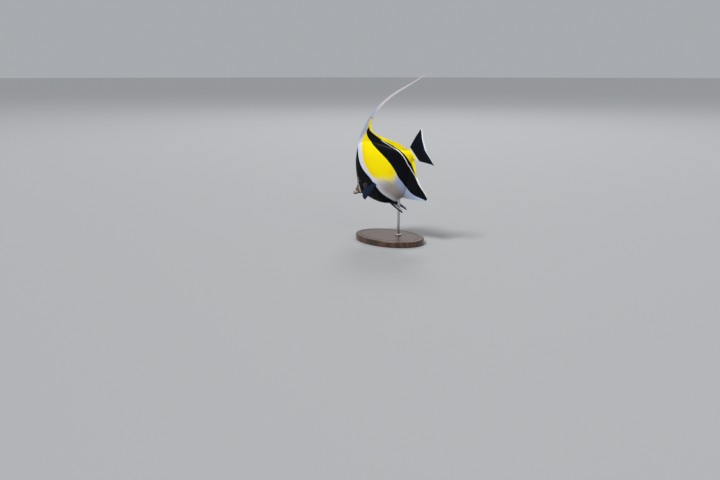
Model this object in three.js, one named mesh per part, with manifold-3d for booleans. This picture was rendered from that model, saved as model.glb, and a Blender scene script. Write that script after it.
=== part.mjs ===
// A moorish idol fish, life size, swimming nose down on a plain display stand.
// Millimetres, +Z up. The origin is the centre of the stand's underside.
// The fish is modelled in its own frame and then pitched, banked and set on the rod:
// x runs from the snout tip to the tail, y to the fish's right, z to its back.

import * as THREE from "three";
import { mergeVertices } from "three/addons/utils/BufferGeometryUtils.js";
import Module from "manifold-3d";

// Driving dimensions. Lengths of the fish are shares of its standard length.
const LENGTH = 140; // snout tip to the root of the tail fin
const GAP = 0.3; // clearance kept between neighbouring pieces
const PITCH = THREE.MathUtils.degToRad(30.5); // nose down
const BANK = THREE.MathUtils.degToRad(13.2); // back leaning to the fish's left

const HEAD_END = 0.13; // where the snout meets the head
const TAIL_ROOT_START = 0.9;
const EYE = { x: 0.25, z: 0.002, side: 0.051, radius: 0.041, depth: 0.024 };
const EYE_RIM = { outside: 0.5, thick: 0.85, sunk: 0.25 };
const BROW = { x: 0.217, z: 0.073, side: 0.05, lean: [-0.5, 0.62, 0.6] };
const BROW_SPINE = { tip: 0.35, radius: 1.7, long: 5.6, lift: 1.8 };

const BASE = { long: 124, wide: 88, high: 10, chamfer: 1.6 };
const ROD = { radius: 2.2, foot: [14, 6], belly: 0.505, top: 70 };
const COLLAR = { radius: 5, high: 2.4, bevel: 0.6 };

// A smooth function through a few [x, value] pairs.
function smooth(pairs) {
  const slope = (i) => {
    const a = pairs[Math.max(i - 1, 0)];
    const b = pairs[Math.min(i + 1, pairs.length - 1)];
    return (b[1] - a[1]) / (b[0] - a[0]);
  };
  return (x) => {
    let i = 0;
    while (i < pairs.length - 2 && x > pairs[i + 1][0]) i += 1;
    const [x0, y0] = pairs[i];
    const [x1, y1] = pairs[i + 1];
    const step = x1 - x0;
    const t = THREE.MathUtils.clamp((x - x0) / step, 0, 1);
    const t2 = t * t;
    const t3 = t2 * t;
    return (
      (2 * t3 - 3 * t2 + 1) * y0 +
      (t3 - 2 * t2 + t) * step * slope(i) +
      (3 * t2 - 2 * t3) * y1 +
      (t3 - t2) * step * slope(i + 1)
    );
  };
}

// The body without its fins: back, belly, half width and the level where it is widest.
const back = smooth([
  [0, 0.021],
  [0.05, 0.032],
  [0.09, 0.049],
  [0.12, 0.074],
  [0.15, 0.118],
  [0.19, 0.188],
  [0.246, 0.275],
  [0.3, 0.338],
  [0.36, 0.394],
  [0.43, 0.445],
  [0.5, 0.445],
  [0.6, 0.395],
  [0.7, 0.312],
  [0.8, 0.214],
  [0.9, 0.12],
  [0.96, 0.088],
  [1, 0.086],
]);
const belly = smooth([
  [0, -0.025],
  [0.05, -0.037],
  [0.09, -0.056],
  [0.12, -0.083],
  [0.15, -0.124],
  [0.19, -0.182],
  [0.24, -0.24],
  [0.3, -0.289],
  [0.36, -0.321],
  [0.43, -0.341],
  [0.5, -0.346],
  [0.56, -0.34],
  [0.63, -0.31],
  [0.7, -0.257],
  [0.8, -0.16],
  [0.9, -0.067],
  [0.96, -0.034],
  [1, -0.032],
]);
const halfWidth = smooth([
  [0, 0.017],
  [0.05, 0.022],
  [0.1, 0.033],
  [0.15, 0.046],
  [0.2, 0.057],
  [0.26, 0.067],
  [0.33, 0.077],
  [0.42, 0.084],
  [0.52, 0.082],
  [0.62, 0.073],
  [0.72, 0.058],
  [0.82, 0.04],
  [0.9, 0.028],
  [0.96, 0.022],
  [1, 0.019],
]);
const waist = smooth([
  [0, -0.002],
  [0.2, -0.005],
  [0.4, 0.012],
  [0.7, 0.028],
  [1, 0.027],
]);
const UPPER_SHARPNESS = 1.25; // above 1 pinches the section towards the back
const LOWER_SHARPNESS = 1.12;

// Half width at a height z (a share of the length) on the station x.
function sideAt(x, z) {
  const level = waist(x);
  const reach = z > level ? back(x) - level : level - belly(x);
  const rise = THREE.MathUtils.clamp(Math.abs(z - level) / reach, 0, 1);
  const power = z > level ? UPPER_SHARPNESS : LOWER_SHARPNESS;
  return halfWidth(x) * Math.pow(Math.sqrt(1 - rise * rise), power);
}

const wasm = await Module();
wasm.setup();

// A closed geometry as a solid for cutting and joining.
function solid(geometry) {
  const bare = geometry.clone();
  bare.deleteAttribute("normal");
  bare.deleteAttribute("uv");
  const merged = mergeVertices(bare, 1e-3);
  return new wasm.Manifold(
    new wasm.Mesh({
      numProp: 3,
      vertProperties: merged.attributes.position.array,
      triVerts: new Uint32Array(merged.index.array),
    }),
  );
}

// The largest closed surface of a solid, as a geometry.
function geometryOf(manifold) {
  const largest = manifold
    .decompose()
    .reduce((best, piece) => (piece.volume() > best.volume() ? piece : best));
  const { vertProperties, triVerts } = largest.getMesh();
  return new THREE.BufferGeometry()
    .setAttribute("position", new THREE.BufferAttribute(vertProperties, 3))
    .setIndex(new THREE.BufferAttribute(triVerts, 1));
}

const union = (pieces) => pieces.reduce((all, piece) => all.add(piece));

// Moves every vertex of a geometry through a function of its position.
function reshape(geometry, place) {
  const position = geometry.attributes.position;
  const point = new THREE.Vector3();
  for (let i = 0; i < position.count; i += 1) {
    point.fromBufferAttribute(position, i);
    place(point);
    position.setXYZ(i, point.x, point.y, point.z);
  }
  return geometry;
}

// The whole body, swollen by grow millimetres, from the snout tip to the tail fin's root.
function bodySolid(grow, around = 32, along = 38) {
  const tube = new THREE.CylinderGeometry(1, 1, 1, around, along);
  const share = grow / LENGTH;
  reshape(tube, (p) => {
    const t = p.y + 0.5;
    const radius = Math.hypot(p.x, p.z);
    const cosine = radius > 0 ? p.z / radius : 0;
    const sine = radius > 0 ? p.x / radius : 0;
    const x = t * (0.62 + 0.38 * t);
    const level = waist(x);
    const up = cosine > 0;
    const reach = up ? back(x) - level : level - belly(x);
    const power = up ? UPPER_SHARPNESS : LOWER_SHARPNESS;
    const width = (halfWidth(x) + share) * Math.pow(Math.abs(sine), power);
    const beyond = (t > 0.5 ? 1 : -1) * (t < 0.001 || t > 0.999 ? grow : 0);
    p.set(
      x * LENGTH + beyond,
      -radius * Math.sign(sine) * width * LENGTH,
      (level + radius * (reach + share) * cosine) * LENGTH,
    );
  });
  return solid(tube);
}

// A straight prism through the fish, from y0 to y1, over an outline of [x, z] shares.
function prism(outline, y0, y1) {
  const shape = new THREE.Shape(
    outline.map(([x, z]) => new THREE.Vector2(x * LENGTH, z * LENGTH)),
  );
  const block = new THREE.ExtrudeGeometry(shape, {
    depth: y1 - y0,
    bevelEnabled: false,
  });
  return solid(block.rotateX(Math.PI / 2).translate(0, y1, 0));
}

// Smooths an outline of [x, z] shares.
function rounded(outline, closed, steps) {
  const curve = new THREE.CatmullRomCurve3(
    outline.map(([x, z]) => new THREE.Vector3(x, z, 0)),
    closed,
    "centripetal",
  );
  const points = curve.getPoints(steps).map((p) => [p.x, p.y]);
  return closed ? points.slice(0, -1) : points;
}

// Pushes a closed outline of [x, z] shares outwards by a distance in millimetres.
function outset(outline, distance) {
  const area = THREE.ShapeUtils.area(
    outline.map(([x, z]) => new THREE.Vector2(x, z)),
  );
  const turn = Math.sign(area) * (distance / LENGTH);
  return outline.map(([x, z], i) => {
    const [xa, za] = outline[(i + outline.length - 1) % outline.length];
    const [xb, zb] = outline[(i + 1) % outline.length];
    const run = Math.hypot(xb - xa, zb - za);
    return [x + (turn * (zb - za)) / run, z - (turn * (xb - xa)) / run];
  });
}

const REACH = 60; // well clear of the body on either side
const FAR = 0.9; // shares, clear of the body above and below

// The back edge of the head, from above the nape down the gill opening to the throat.
const gillLine = rounded(
  [
    [0.385, 0.6],
    [0.376, 0.44],
    [0.354, 0.3],
    [0.345, 0.16],
    [0.348, 0.05],
    [0.353, -0.05],
    [0.345, -0.15],
    [0.315, -0.24],
    [0.265, -0.34],
    [0.24, -0.6],
  ],
  false,
  26,
);
const aheadOf = (line, shift) => [
  [-FAR, line[line.length - 1][1]],
  [-FAR, line[0][1]],
  ...line.map(([x, z]) => [x + shift / LENGTH, z]),
];
const upTo = (x) => [
  [-FAR, -FAR],
  [x, -FAR],
  [x, FAR],
  [-FAR, FAR],
];

// A gill cover's outline. Its back edge laps over the gill opening.
const gillCover = rounded(
  [
    [0.313, 0.07],
    [0.337, 0.088],
    [0.36, 0.05],
    [0.366, -0.04],
    [0.358, -0.13],
    [0.33, -0.2],
    [0.292, -0.226],
    [0.272, -0.16],
    [0.284, -0.07],
    [0.309, 0.004],
  ],
  true,
  30,
);
const COVER = { proud: 0.55, sunk: 1.5 };

const body = bodySolid(0);
const around = bodySolid(GAP); // what the fins and the rod are cut back to

// An ellipsoid with its radii in millimetres.
function ellipsoid([rx, ry, rz], [x, y, z], across = 16, down = 10) {
  return new THREE.SphereGeometry(1, across, down)
    .scale(rx, ry, rz)
    .translate(x, y, z);
}

function eyeBall(side, grow) {
  const radii = [EYE.radius, EYE.depth, EYE.radius].map(
    (r) => r * LENGTH + grow,
  );
  const at = [EYE.x, side * EYE.side, EYE.z].map((v) => v * LENGTH);
  return ellipsoid(radii, at);
}

// The raised rim of bone and skin round one eye.
function eyeRim(side) {
  const ring = EYE.radius * LENGTH + EYE_RIM.outside;
  const rim = new THREE.TorusGeometry(ring, EYE_RIM.thick, 5, 16);
  const lean = Math.atan(
    (halfWidth(EYE.x + 0.03) - halfWidth(EYE.x - 0.03)) / 0.06,
  );
  rim.rotateX(Math.PI / 2).rotateZ(side * lean);
  rim.translate(
    EYE.x * LENGTH,
    side * (sideAt(EYE.x, EYE.z) * LENGTH - EYE_RIM.sunk),
    EYE.z * LENGTH,
  );
  return solid(rim);
}

// The short bony spine that an adult has in front of each eye.
function browSpine(side) {
  const { tip, radius, long, lift } = BROW_SPINE;
  const cone = new THREE.CylinderGeometry(tip, radius, long, 8);
  const [x, y, z] = BROW.lean;
  const lean = new THREE.Vector3(x, side * y, z).normalize();
  const turn = new THREE.Quaternion().setFromUnitVectors(
    new THREE.Vector3(0, 1, 0),
    lean,
  );
  cone.translate(0, lift, 0).applyQuaternion(turn);
  cone.translate(BROW.x * LENGTH, side * BROW.side * LENGTH, BROW.z * LENGTH);
  return solid(cone);
}

// Two nostrils a side, each a low rim round a pit.
const NOSTRILS = [
  { x: 0.19, z: 0.048, radius: 0.95 },
  { x: 0.176, z: 0.036, radius: 0.75 },
];
function nostril({ x, z, radius }, side, pit) {
  const skin = side * sideAt(x, z) * LENGTH;
  const shape = pit
    ? ellipsoid([radius * 0.6, 1.6, radius * 0.6], [0, 0, 0], 8, 6)
    : ellipsoid([radius, 0.7, radius], [0, 0, 0], 10, 6);
  return solid(
    shape.translate(x * LENGTH, skin - (pit ? 0 : side * 0.1), z * LENGTH),
  );
}

const SIDES = [-1, 1]; // the fish's left is at -y
const LIPS = [
  { radii: [2.3, 2.75, 1.75], at: [1.2, 0, 1.55] },
  { radii: [2.5, 2.65, 1.9], at: [1.7, 0, -2.15] },
];
const MOUTH = { deep: 0.045, z: -0.0022, open: 0.5 };

// The slit between the lips, running back along the snout.
function mouthSlit() {
  const slit = new THREE.BoxGeometry(MOUTH.deep * LENGTH + 4, 12, MOUTH.open);
  slit.translate((MOUTH.deep * LENGTH - 4) / 2, 0, MOUTH.z * LENGTH);
  return solid(slit);
}

// One gill cover, or the recess that holds it when it is grown by the gap.
function coverSolid(side, grow, deep) {
  const y0 = side < 0 ? -REACH : 0;
  const block = prism(outset(gillCover, grow), y0, y0 + REACH);
  const outer = grow > 0 ? block : block.intersect(bodySolid(COVER.proud));
  return outer.subtract(bodySolid(-deep));
}

const faceParts = [
  ...SIDES.map(eyeRim),
  ...SIDES.map(browSpine),
  ...SIDES.flatMap((s) => NOSTRILS.map((n) => nostril(n, s, false))),
  ...LIPS.map(({ radii, at }) => solid(ellipsoid(radii, at, 14, 8))),
];
const faceCuts = [
  mouthSlit(),
  ...SIDES.map((s) => solid(eyeBall(s, GAP))),
  ...SIDES.flatMap((s) => NOSTRILS.map((n) => nostril(n, s, true))),
];
const coverRecess = union(
  SIDES.map((s) => coverSolid(s, GAP, COVER.sunk + GAP)),
);

const wholeHead = union([
  body.intersect(prism(aheadOf(gillLine, 0), -REACH, REACH)),
  ...faceParts,
])
  .subtract(union(faceCuts))
  .subtract(coverRecess);
const snoutBlock = prism(upTo(HEAD_END), -REACH, REACH);
const headGap = prism(upTo(HEAD_END + GAP / LENGTH), -REACH, REACH);
const trunkAndTail = body
  .subtract(prism(aheadOf(gillLine, GAP), -REACH, REACH))
  .subtract(coverRecess);
const tailCut = prism(upTo(TAIL_ROOT_START), -REACH, REACH);
const tailGap = prism(upTo(TAIL_ROOT_START + GAP / LENGTH), -REACH, REACH);

// A closed plate of rays and membrane. centre(u, v) gives its middle surface as shares of the
// length, with u from ray to ray and v from the root out; both faces are split alike.
// flare(u) is how far a ray stands out past the membrane at the margin.
function finPlate({ rays, rows, centre, root, edge, ridge, flare }) {
  const columns = 2 * rays - 1;
  const stride = rows + 1;
  const middle = (i, j) => {
    const onRay = i % 2 === 0;
    const u = i / (columns - 1);
    const v = (j / rows) * (1 + (onRay && j === rows ? flare(u) : 0));
    return new THREE.Vector3(...centre(u, v)).multiplyScalar(LENGTH);
  };
  const grid = [];
  for (let i = 0; i < columns; i += 1)
    for (let j = 0; j <= rows; j += 1) grid.push(middle(i, j));
  const at = (i, j) =>
    grid[
      THREE.MathUtils.clamp(i, 0, columns - 1) * stride +
        THREE.MathUtils.clamp(j, 0, rows)
    ];
  const positions = [];
  for (const face of [1, -1])
    for (let i = 0; i < columns; i += 1)
      for (let j = 0; j <= rows; j += 1) {
        const across = at(i + 1, j).clone().sub(at(i - 1, j));
        const outward = at(i, j + 1).clone().sub(at(i, j - 1));
        const normal = across.cross(outward).normalize();
        const rib = i % 2 === 0 ? 1 : ridge;
        const half = (THREE.MathUtils.lerp(root, edge, j / rows) * rib) / 2;
        const p = at(i, j).clone().addScaledVector(normal, face * half);
        positions.push(p.x, p.y, p.z);
      }
  const index = [];
  const other = columns * stride;
  const quad = (a, b, c, d) => index.push(a, b, c, a, c, d);
  for (let i = 0; i < columns - 1; i += 1)
    for (let j = 0; j < rows; j += 1) {
      const a = i * stride + j;
      const b = a + stride;
      quad(a, b, b + 1, a + 1);
      index.push(
        other + a,
        other + b + 1,
        other + b,
        other + a,
        other + a + 1,
        other + b + 1,
      );
    }
  for (let i = 0; i < columns - 1; i += 1) {
    const a = i * stride;
    const b = a + stride;
    quad(b, a, other + a, other + b);
    quad(a + rows, b + rows, other + b + rows, other + a + rows);
  }
  const last = (columns - 1) * stride;
  for (let j = 0; j < rows; j += 1) {
    quad(j, j + 1, other + j + 1, other + j);
    quad(last + j + 1, last + j, other + last + j, other + last + j + 1);
  }
  const plate = new THREE.BufferGeometry()
    .setAttribute("position", new THREE.Float32BufferAttribute(positions, 3))
    .setIndex(index);
  const made = solid(plate);
  return made.volume() > 0 ? made : solid(turned(plate));
}

// The same closed geometry with its faces turned round.
function turned(geometry) {
  const flipped = geometry.clone();
  const index = flipped.index.array;
  for (let i = 0; i < index.length; i += 3)
    [index[i + 1], index[i + 2]] = [index[i + 2], index[i + 1]];
  return flipped;
}

// A curve through [u, x, z] rows, as a function of u that gives [x, z].
function edgeCurve(rows) {
  const x = smooth(rows.map((r) => [r[0], r[1]]));
  const z = smooth(rows.map((r) => [r[0], r[2]]));
  return (u) => [x(u), z(u)];
}

const SINK = 1.6 / LENGTH; // how far a fin's root starts inside the body
const FIN = { root: 2.4, edge: 0.75, ridge: 0.62 };
// Where each median fin's first ray leaves the body, and how steeply, in degrees.
const FIRST_RAY = { dorsal: { x: 0.4, rise: 45 }, anal: { x: 0.556, rise: 36 } };

// A fin on the mid line, from a stretch of the back or belly out to its free margin.
function medianFin({ from, to, profile, sink, margin, bow, sway, rays, rows }) {
  return finPlate({
    rays,
    rows,
    ...FIN,
    flare: (u) => (u < 0.1 ? 0 : 0.02),
    centre: (u, v) => {
      const x = THREE.MathUtils.lerp(from, to, u);
      const start = [x, profile(x) + sink];
      const [mx, mz] = margin(u);
      const swell = bow(u) * Math.sin(Math.PI * Math.min(v, 1) ** 0.6);
      return [
        THREE.MathUtils.lerp(start[0], mx, v),
        sway(u, v),
        THREE.MathUtils.lerp(start[1], mz, v) + swell,
      ];
    },
  });
}

const dorsalFin = medianFin({
  from: FIRST_RAY.dorsal.x,
  to: 0.94,
  profile: back,
  sink: -SINK,
  rays: 22,
  rows: 6,
  bow: (u) => 0.039 * (1 - u) ** 3,
  sway: (u, v) => 0.006 * v * Math.sin(5 * u),
  margin: edgeCurve([
    [0, 0.79, 0.645],
    [0.08, 0.802, 0.6],
    [0.14, 0.752, 0.577],
    [0.2, 0.712, 0.535],
    [0.28, 0.693, 0.478],
    [0.38, 0.722, 0.418],
    [0.52, 0.782, 0.345],
    [0.68, 0.847, 0.281],
    [0.84, 0.915, 0.2],
    [1, 0.98, 0.088],
  ]),
});

const analFin = medianFin({
  from: FIRST_RAY.anal.x,
  to: 0.95,
  profile: belly,
  sink: SINK,
  rays: 18,
  rows: 5,
  bow: (u) => -0.012 * (1 - u) ** 2,
  sway: (u, v) => -0.006 * v * Math.sin(4 * u),
  margin: edgeCurve([
    [0, 0.812, -0.512],
    [0.07, 0.848, -0.5],
    [0.14, 0.868, -0.445],
    [0.28, 0.874, -0.362],
    [0.46, 0.884, -0.266],
    [0.66, 0.905, -0.186],
    [0.85, 0.944, -0.108],
    [1, 0.974, -0.033],
  ]),
});

const TAIL_FIN = {
  root: [0.984, 0.08, -0.026],
  upperTip: 0.213,
  lowerTip: -0.226,
  fork: 1.18,
  sweep: 0.043,
  twist: 0.4,
};
const tailFin = finPlate({
  rays: 17,
  rows: 5,
  ...FIN,
  root: 4.2,
  flare: () => 0.015,
  centre: (u, v) => {
    const [rootX, rootTop, rootLow] = TAIL_FIN.root;
    const rootZ = THREE.MathUtils.lerp(rootTop, rootLow, u);
    const tipX = TAIL_FIN.fork + TAIL_FIN.sweep * Math.abs(2 * u - 1) ** 1.5;
    const tipZ = THREE.MathUtils.lerp(
      TAIL_FIN.upperTip,
      TAIL_FIN.lowerTip,
      u,
    );
    const x = THREE.MathUtils.lerp(rootX, tipX, v);
    const z = THREE.MathUtils.lerp(rootZ, tipZ, v ** (0.92 - 0.24 * u));
    return [x, TAIL_FIN.twist * z * v * v, z];
  },
});

// A paired fin between a root chord and a free margin, given for the left side.
function pairedFin({ rootTop, rootLow, margin, bow, rays, rows, thick }) {
  return (side) =>
    finPlate({
      rays,
      rows,
      root: thick,
      edge: FIN.edge,
      ridge: FIN.ridge,
      flare: () => 0.03,
      centre: (u, v) => {
        const root = rootTop.map((a, k) =>
          THREE.MathUtils.lerp(a, rootLow[k], u),
        );
        const rim = margin.map((axis) => axis(u));
        const bulge = bow * Math.sin(Math.PI * Math.min(v, 1));
        const [x, y, z] = root.map((a, k) =>
          THREE.MathUtils.lerp(a, rim[k], v),
        );
        return [x, side * (y + bulge), z];
      },
    });
}

const pectoralFin = pairedFin({
  rootTop: [0.393, 0.077, -0.02],
  rootLow: [0.403, 0.077, -0.062],
  margin: [
    smooth([
      [0, 0.273],
      [0.25, 0.225],
      [0.6, 0.194],
      [0.85, 0.196],
      [1, 0.228],
    ]),
    smooth([
      [0, 0.142],
      [0.5, 0.162],
      [1, 0.14],
    ]),
    smooth([
      [0, -0.019],
      [0.25, -0.052],
      [0.6, -0.106],
      [0.85, -0.137],
      [1, -0.128],
    ]),
  ],
  bow: 0.02,
  rays: 11,
  rows: 5,
  thick: 1.6,
});

const pelvicFin = pairedFin({
  rootTop: [0.372, 0.014, -0.308],
  rootLow: [0.436, 0.014, -0.328],
  margin: [
    smooth([
      [0, 0.485],
      [1, 0.5],
    ]),
    smooth([
      [0, 0.052],
      [1, 0.044],
    ]),
    smooth([
      [0, -0.505],
      [1, -0.472],
    ]),
  ],
  bow: 0.008,
  rays: 6,
  rows: 5,
  thick: 2.2,
});

// The trailing streamer of the third dorsal spine, as a tapering ribbon with a stiff front edge.
const streamerFront = smooth([
  [0.79, 0.645],
  [0.92, 0.672],
  [1.043, 0.689],
  [1.166, 0.696],
  [1.333, 0.685],
  [1.483, 0.671],
  [1.64, 0.662],
]);
const streamerWidth = smooth([
  [0.79, 0.044],
  [0.92, 0.03],
  [1.043, 0.025],
  [1.166, 0.023],
  [1.333, 0.0165],
  [1.483, 0.012],
  [1.64, 0.006],
]);
const STREAMER = { joints: [0.79, 1.07, 1.36, 1.64], lean: 0.32, thick: 1.5, tip: 0.6 };

function streamer(from, to) {
  const start = from + GAP / LENGTH;
  const taper = (x) =>
    THREE.MathUtils.mapLinear(
      x,
      STREAMER.joints[0],
      STREAMER.joints[3],
      STREAMER.thick,
      STREAMER.tip,
    );
  const strip = new THREE.BoxGeometry(1, 1, 1, 12, 1, 3);
  return solid(
    reshape(strip, (p) => {
      const x = THREE.MathUtils.lerp(start, to, p.x + 0.5);
      const behind = 0.5 - p.z; // 0 at the front edge, 1 at the trailing edge
      const front = streamerFront(x);
      const half = taper(x) * (0.42 + 0.58 * Math.sin(Math.PI * behind ** 0.6));
      const sway = 0.01 * Math.sin((x - STREAMER.joints[0]) * 4.5);
      p.set(
        (x + STREAMER.lean * behind * streamerWidth(x)) * LENGTH,
        sway * LENGTH + p.y * half,
        (front - behind * streamerWidth(x)) * LENGTH,
      );
    }),
  );
}

// What the dorsal fin is cut back to, so that the streamer carries on from its tip.
function streamerSide() {
  const [x] = STREAMER.joints;
  const top = streamerFront(x);
  const low = top - streamerWidth(x);
  const at = (z) => [x + STREAMER.lean * (top - z), z];
  const outline = [at(FAR), at(low), [2, low], [2, FAR]];
  return prism(outline, -REACH, REACH);
}

// The short spines in front of a median fin's first ray, each steeper than the one behind.
const SPINE_SINK = 2.2;
const SPINES = [
  { ahead: 0.9, long: 13, radius: 0.95, tilt: 8 },
  { ahead: 1.9, long: 8, radius: 0.85, tilt: 12 },
];
function frontSpines({ x, rise }, profile, sign) {
  return union(
    SPINES.map(({ ahead, long, radius, tilt }) => {
      const cone = new THREE.CylinderGeometry(0.3, radius, long, 7);
      const lean = THREE.MathUtils.degToRad(90 - rise - tilt);
      cone.translate(0, long / 2, 0).rotateX(Math.PI / 2).rotateY(lean);
      if (sign < 0) cone.rotateX(Math.PI);
      const foot = profile(x) - (sign * SPINE_SINK) / LENGTH;
      return solid(cone.translate(x * LENGTH - ahead, 0, foot * LENGTH));
    }),
  );
}

// The fish group stands on the rod with its belly at the rod's top.
const fish = new THREE.Group();
fish.rotation.set(BANK, -PITCH, 0, "YXZ");
const rodContact = new THREE.Vector3(
  ROD.belly * LENGTH,
  0,
  belly(ROD.belly) * LENGTH,
).applyEuler(fish.rotation);
fish.position.set(ROD.foot[0], ROD.foot[1], ROD.top).sub(rodContact);
fish.updateMatrix();

const FINISH = {
  skin: { color: 0xe9c81c, roughness: 0.5 },
  face: { color: 0x14161b, roughness: 0.5 },
  fin: { color: 0x14161b, roughness: 0.55 },
  streamer: { color: 0xe4e4ea, roughness: 0.5 },
  eye: { color: 0x1a1008, roughness: 0.1 },
  base: { color: 0x3a2a1e, roughness: 0.5 },
  rod: { color: 0x8c8f93, roughness: 0.3, metalness: 1 },
};

function piece(name, shape, finish, group) {
  const geometry = shape.isBufferGeometry ? shape : geometryOf(shape);
  const mesh = new THREE.Mesh(
    geometry,
    new THREE.MeshStandardMaterial(FINISH[finish]),
  );
  mesh.name = name;
  group.add(mesh);
}

piece("snout", wholeHead.intersect(snoutBlock), "face", fish);
piece("head", wholeHead.subtract(headGap), "face", fish);
piece("trunk", trunkAndTail.intersect(tailCut), "skin", fish);
piece("tail_root", trunkAndTail.subtract(tailGap), "skin", fish);
const dorsal = dorsalFin.subtract(streamerSide()).add(frontSpines(FIRST_RAY.dorsal, back, 1));
const anal = analFin.add(frontSpines(FIRST_RAY.anal, belly, -1));
piece("dorsal_fin", dorsal.subtract(around), "fin", fish);
piece("anal_fin", anal.subtract(around), "fin", fish);
piece("tail_fin", tailFin.subtract(around), "fin", fish);
for (const side of SIDES) {
  const hand = side < 0 ? "left" : "right";
  piece(`eye_${hand}`, solid(eyeBall(side, 0)), "eye", fish);
  piece(`gill_cover_${hand}`, coverSolid(side, 0, COVER.sunk), "face", fish);
  piece(`pectoral_fin_${hand}`, pectoralFin(side).subtract(around), "fin", fish);
  piece(`pelvic_fin_${hand}`, pelvicFin(side).subtract(around), "fin", fish);
}
for (let k = 0; k < 3; k += 1) {
  const length = streamer(STREAMER.joints[k], STREAMER.joints[k + 1]);
  piece(`dorsal_streamer_${k + 1}`, length, "streamer", fish);
}

// A flat oval base with a chamfered edge, and the rod, cut to the belly that it carries.
const outline = new THREE.Shape().absellipse(
  0,
  0,
  BASE.long / 2 - BASE.chamfer,
  BASE.wide / 2 - BASE.chamfer,
  0,
  2 * Math.PI,
);
const baseBlock = new THREE.ExtrudeGeometry(outline, {
  depth: BASE.high - 2 * BASE.chamfer,
  bevelEnabled: true,
  bevelThickness: BASE.chamfer,
  bevelSize: BASE.chamfer,
  bevelSegments: 1,
  curveSegments: 24,
}).translate(0, 0, BASE.chamfer);

const rodLength = ROD.top + 12 - BASE.high;
const rodBar = new THREE.CylinderGeometry(
  ROD.radius,
  ROD.radius,
  rodLength,
  20,
)
  .rotateX(Math.PI / 2)
  .translate(ROD.foot[0], ROD.foot[1], BASE.high + GAP + rodLength / 2);
const collarProfile = [
  [0, 0],
  [COLLAR.radius, 0],
  [COLLAR.radius, COLLAR.high - COLLAR.bevel],
  [COLLAR.radius - COLLAR.bevel, COLLAR.high],
  [0, COLLAR.high],
];
const collar = new THREE.LatheGeometry(
  collarProfile.map(([r, h]) => new THREE.Vector2(r, h)),
  24,
)
  .rotateX(Math.PI / 2)
  .translate(ROD.foot[0], ROD.foot[1], BASE.high + GAP);
const rod = solid(rodBar).add(solid(collar));
const bodyAbove = solid(geometryOf(around).applyMatrix4(fish.matrix));

const stand = new THREE.Group();
piece("stand_base", solid(baseBlock), "base", stand);
piece("stand_rod", lowest(rod.subtract(bodyAbove)), "rod", stand);

// The lowest piece of what a cut leaves.
function lowest(manifold) {
  const low = (m) => m.boundingBox().min[2];
  return manifold
    .decompose()
    .reduce((best, part) => (low(part) < low(best) ? part : best));
}

const object = new THREE.Group();
object.add(fish, stand);
export default object;
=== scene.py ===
"""A moorish idol, life size, swimming nose down on a plain display stand.

The fish's own frame runs x from the snout tip to the tail, y to the fish's right and z to its
back, all in shares of its length. Pose turns that frame into the shared one, in metres.
"""

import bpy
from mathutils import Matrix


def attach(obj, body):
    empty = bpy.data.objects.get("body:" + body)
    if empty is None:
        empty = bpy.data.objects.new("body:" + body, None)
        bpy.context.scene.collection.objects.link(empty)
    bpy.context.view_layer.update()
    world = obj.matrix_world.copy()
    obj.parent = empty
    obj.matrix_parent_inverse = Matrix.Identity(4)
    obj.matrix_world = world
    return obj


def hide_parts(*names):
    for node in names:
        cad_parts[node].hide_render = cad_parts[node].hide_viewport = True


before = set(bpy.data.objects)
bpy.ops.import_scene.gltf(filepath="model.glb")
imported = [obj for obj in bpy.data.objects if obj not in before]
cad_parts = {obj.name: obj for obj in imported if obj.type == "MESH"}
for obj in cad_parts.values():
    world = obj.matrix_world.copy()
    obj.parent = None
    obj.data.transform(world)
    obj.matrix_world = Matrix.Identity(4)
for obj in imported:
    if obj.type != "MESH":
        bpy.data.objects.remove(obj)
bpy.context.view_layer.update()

import logging
import math
from dataclasses import dataclass, field
from enum import Enum
from typing import Callable, Sequence

import bpy
import numpy as np
from mathutils import Matrix, Vector

logging.basicConfig(level=logging.INFO, format="%(message)s")
log = logging.getLogger("moorish idol")

Array = np.ndarray
Knots = tuple[tuple[float, float], ...]
Point = tuple[float, float, float]
Colour = tuple[float, float, float, float]
Sheet = Callable[[Array, Array], Array]
Piece = bpy.types.Object
Material = bpy.types.Material
Tree = bpy.types.NodeTree
Socket = bpy.types.NodeSocket
BODY = "root"
MM = 0.001


@dataclass(frozen=True)
class Curve:
    """A smooth function through a few (x, value) knots."""

    knots: Knots

    def __call__(self, x: Array | float) -> Array:
        """Finds the value at x, held constant past the end knots.

        Args:
            x: Where to look.

        Returns:
            The value.
        """
        xs, ys = np.array(self.knots).T
        n = len(xs)
        low = np.maximum(np.arange(n) - 1, 0)
        high = np.minimum(np.arange(n) + 1, n - 1)
        slope = (ys[high] - ys[low]) / (xs[high] - xs[low])
        x = np.asarray(x, dtype=float)
        i = np.clip(np.searchsorted(xs, x, side="right") - 1, 0, n - 2)
        step = xs[i + 1] - xs[i]
        t = np.clip((x - xs[i]) / step, 0, 1)
        t2, t3 = t * t, t * t * t
        return (
            (2 * t3 - 3 * t2 + 1) * ys[i]
            + (t3 - 2 * t2 + t) * step * slope[i]
            + (3 * t2 - 2 * t3) * ys[i + 1]
            + (t3 - t2) * step * slope[i + 1]
        )


def curves(*rows: tuple[float, ...]) -> tuple[Curve, ...]:
    """Returns one curve for each value that follows x in the rows of knots."""
    return tuple(Curve(tuple((row[0], row[k]) for row in rows)) for k in range(1, len(rows[0])))


def ramp(value: Array, low: float, high: float) -> Array:
    """Returns a smooth rise from 0 at low to 1 at high; low may be the larger."""
    t = np.clip((value - low) / (high - low), 0, 1)
    return t * t * (3 - 2 * t)


def hump(value: Array, width: float) -> Array:
    """Returns a bell of height 1 about zero."""
    return np.exp(-((value / width) ** 2))


def blend(a: Array | float, b: Array | float, t: Array | float) -> Array:
    """Returns the straight mix of a and b."""
    return a + (b - a) * t


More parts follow.
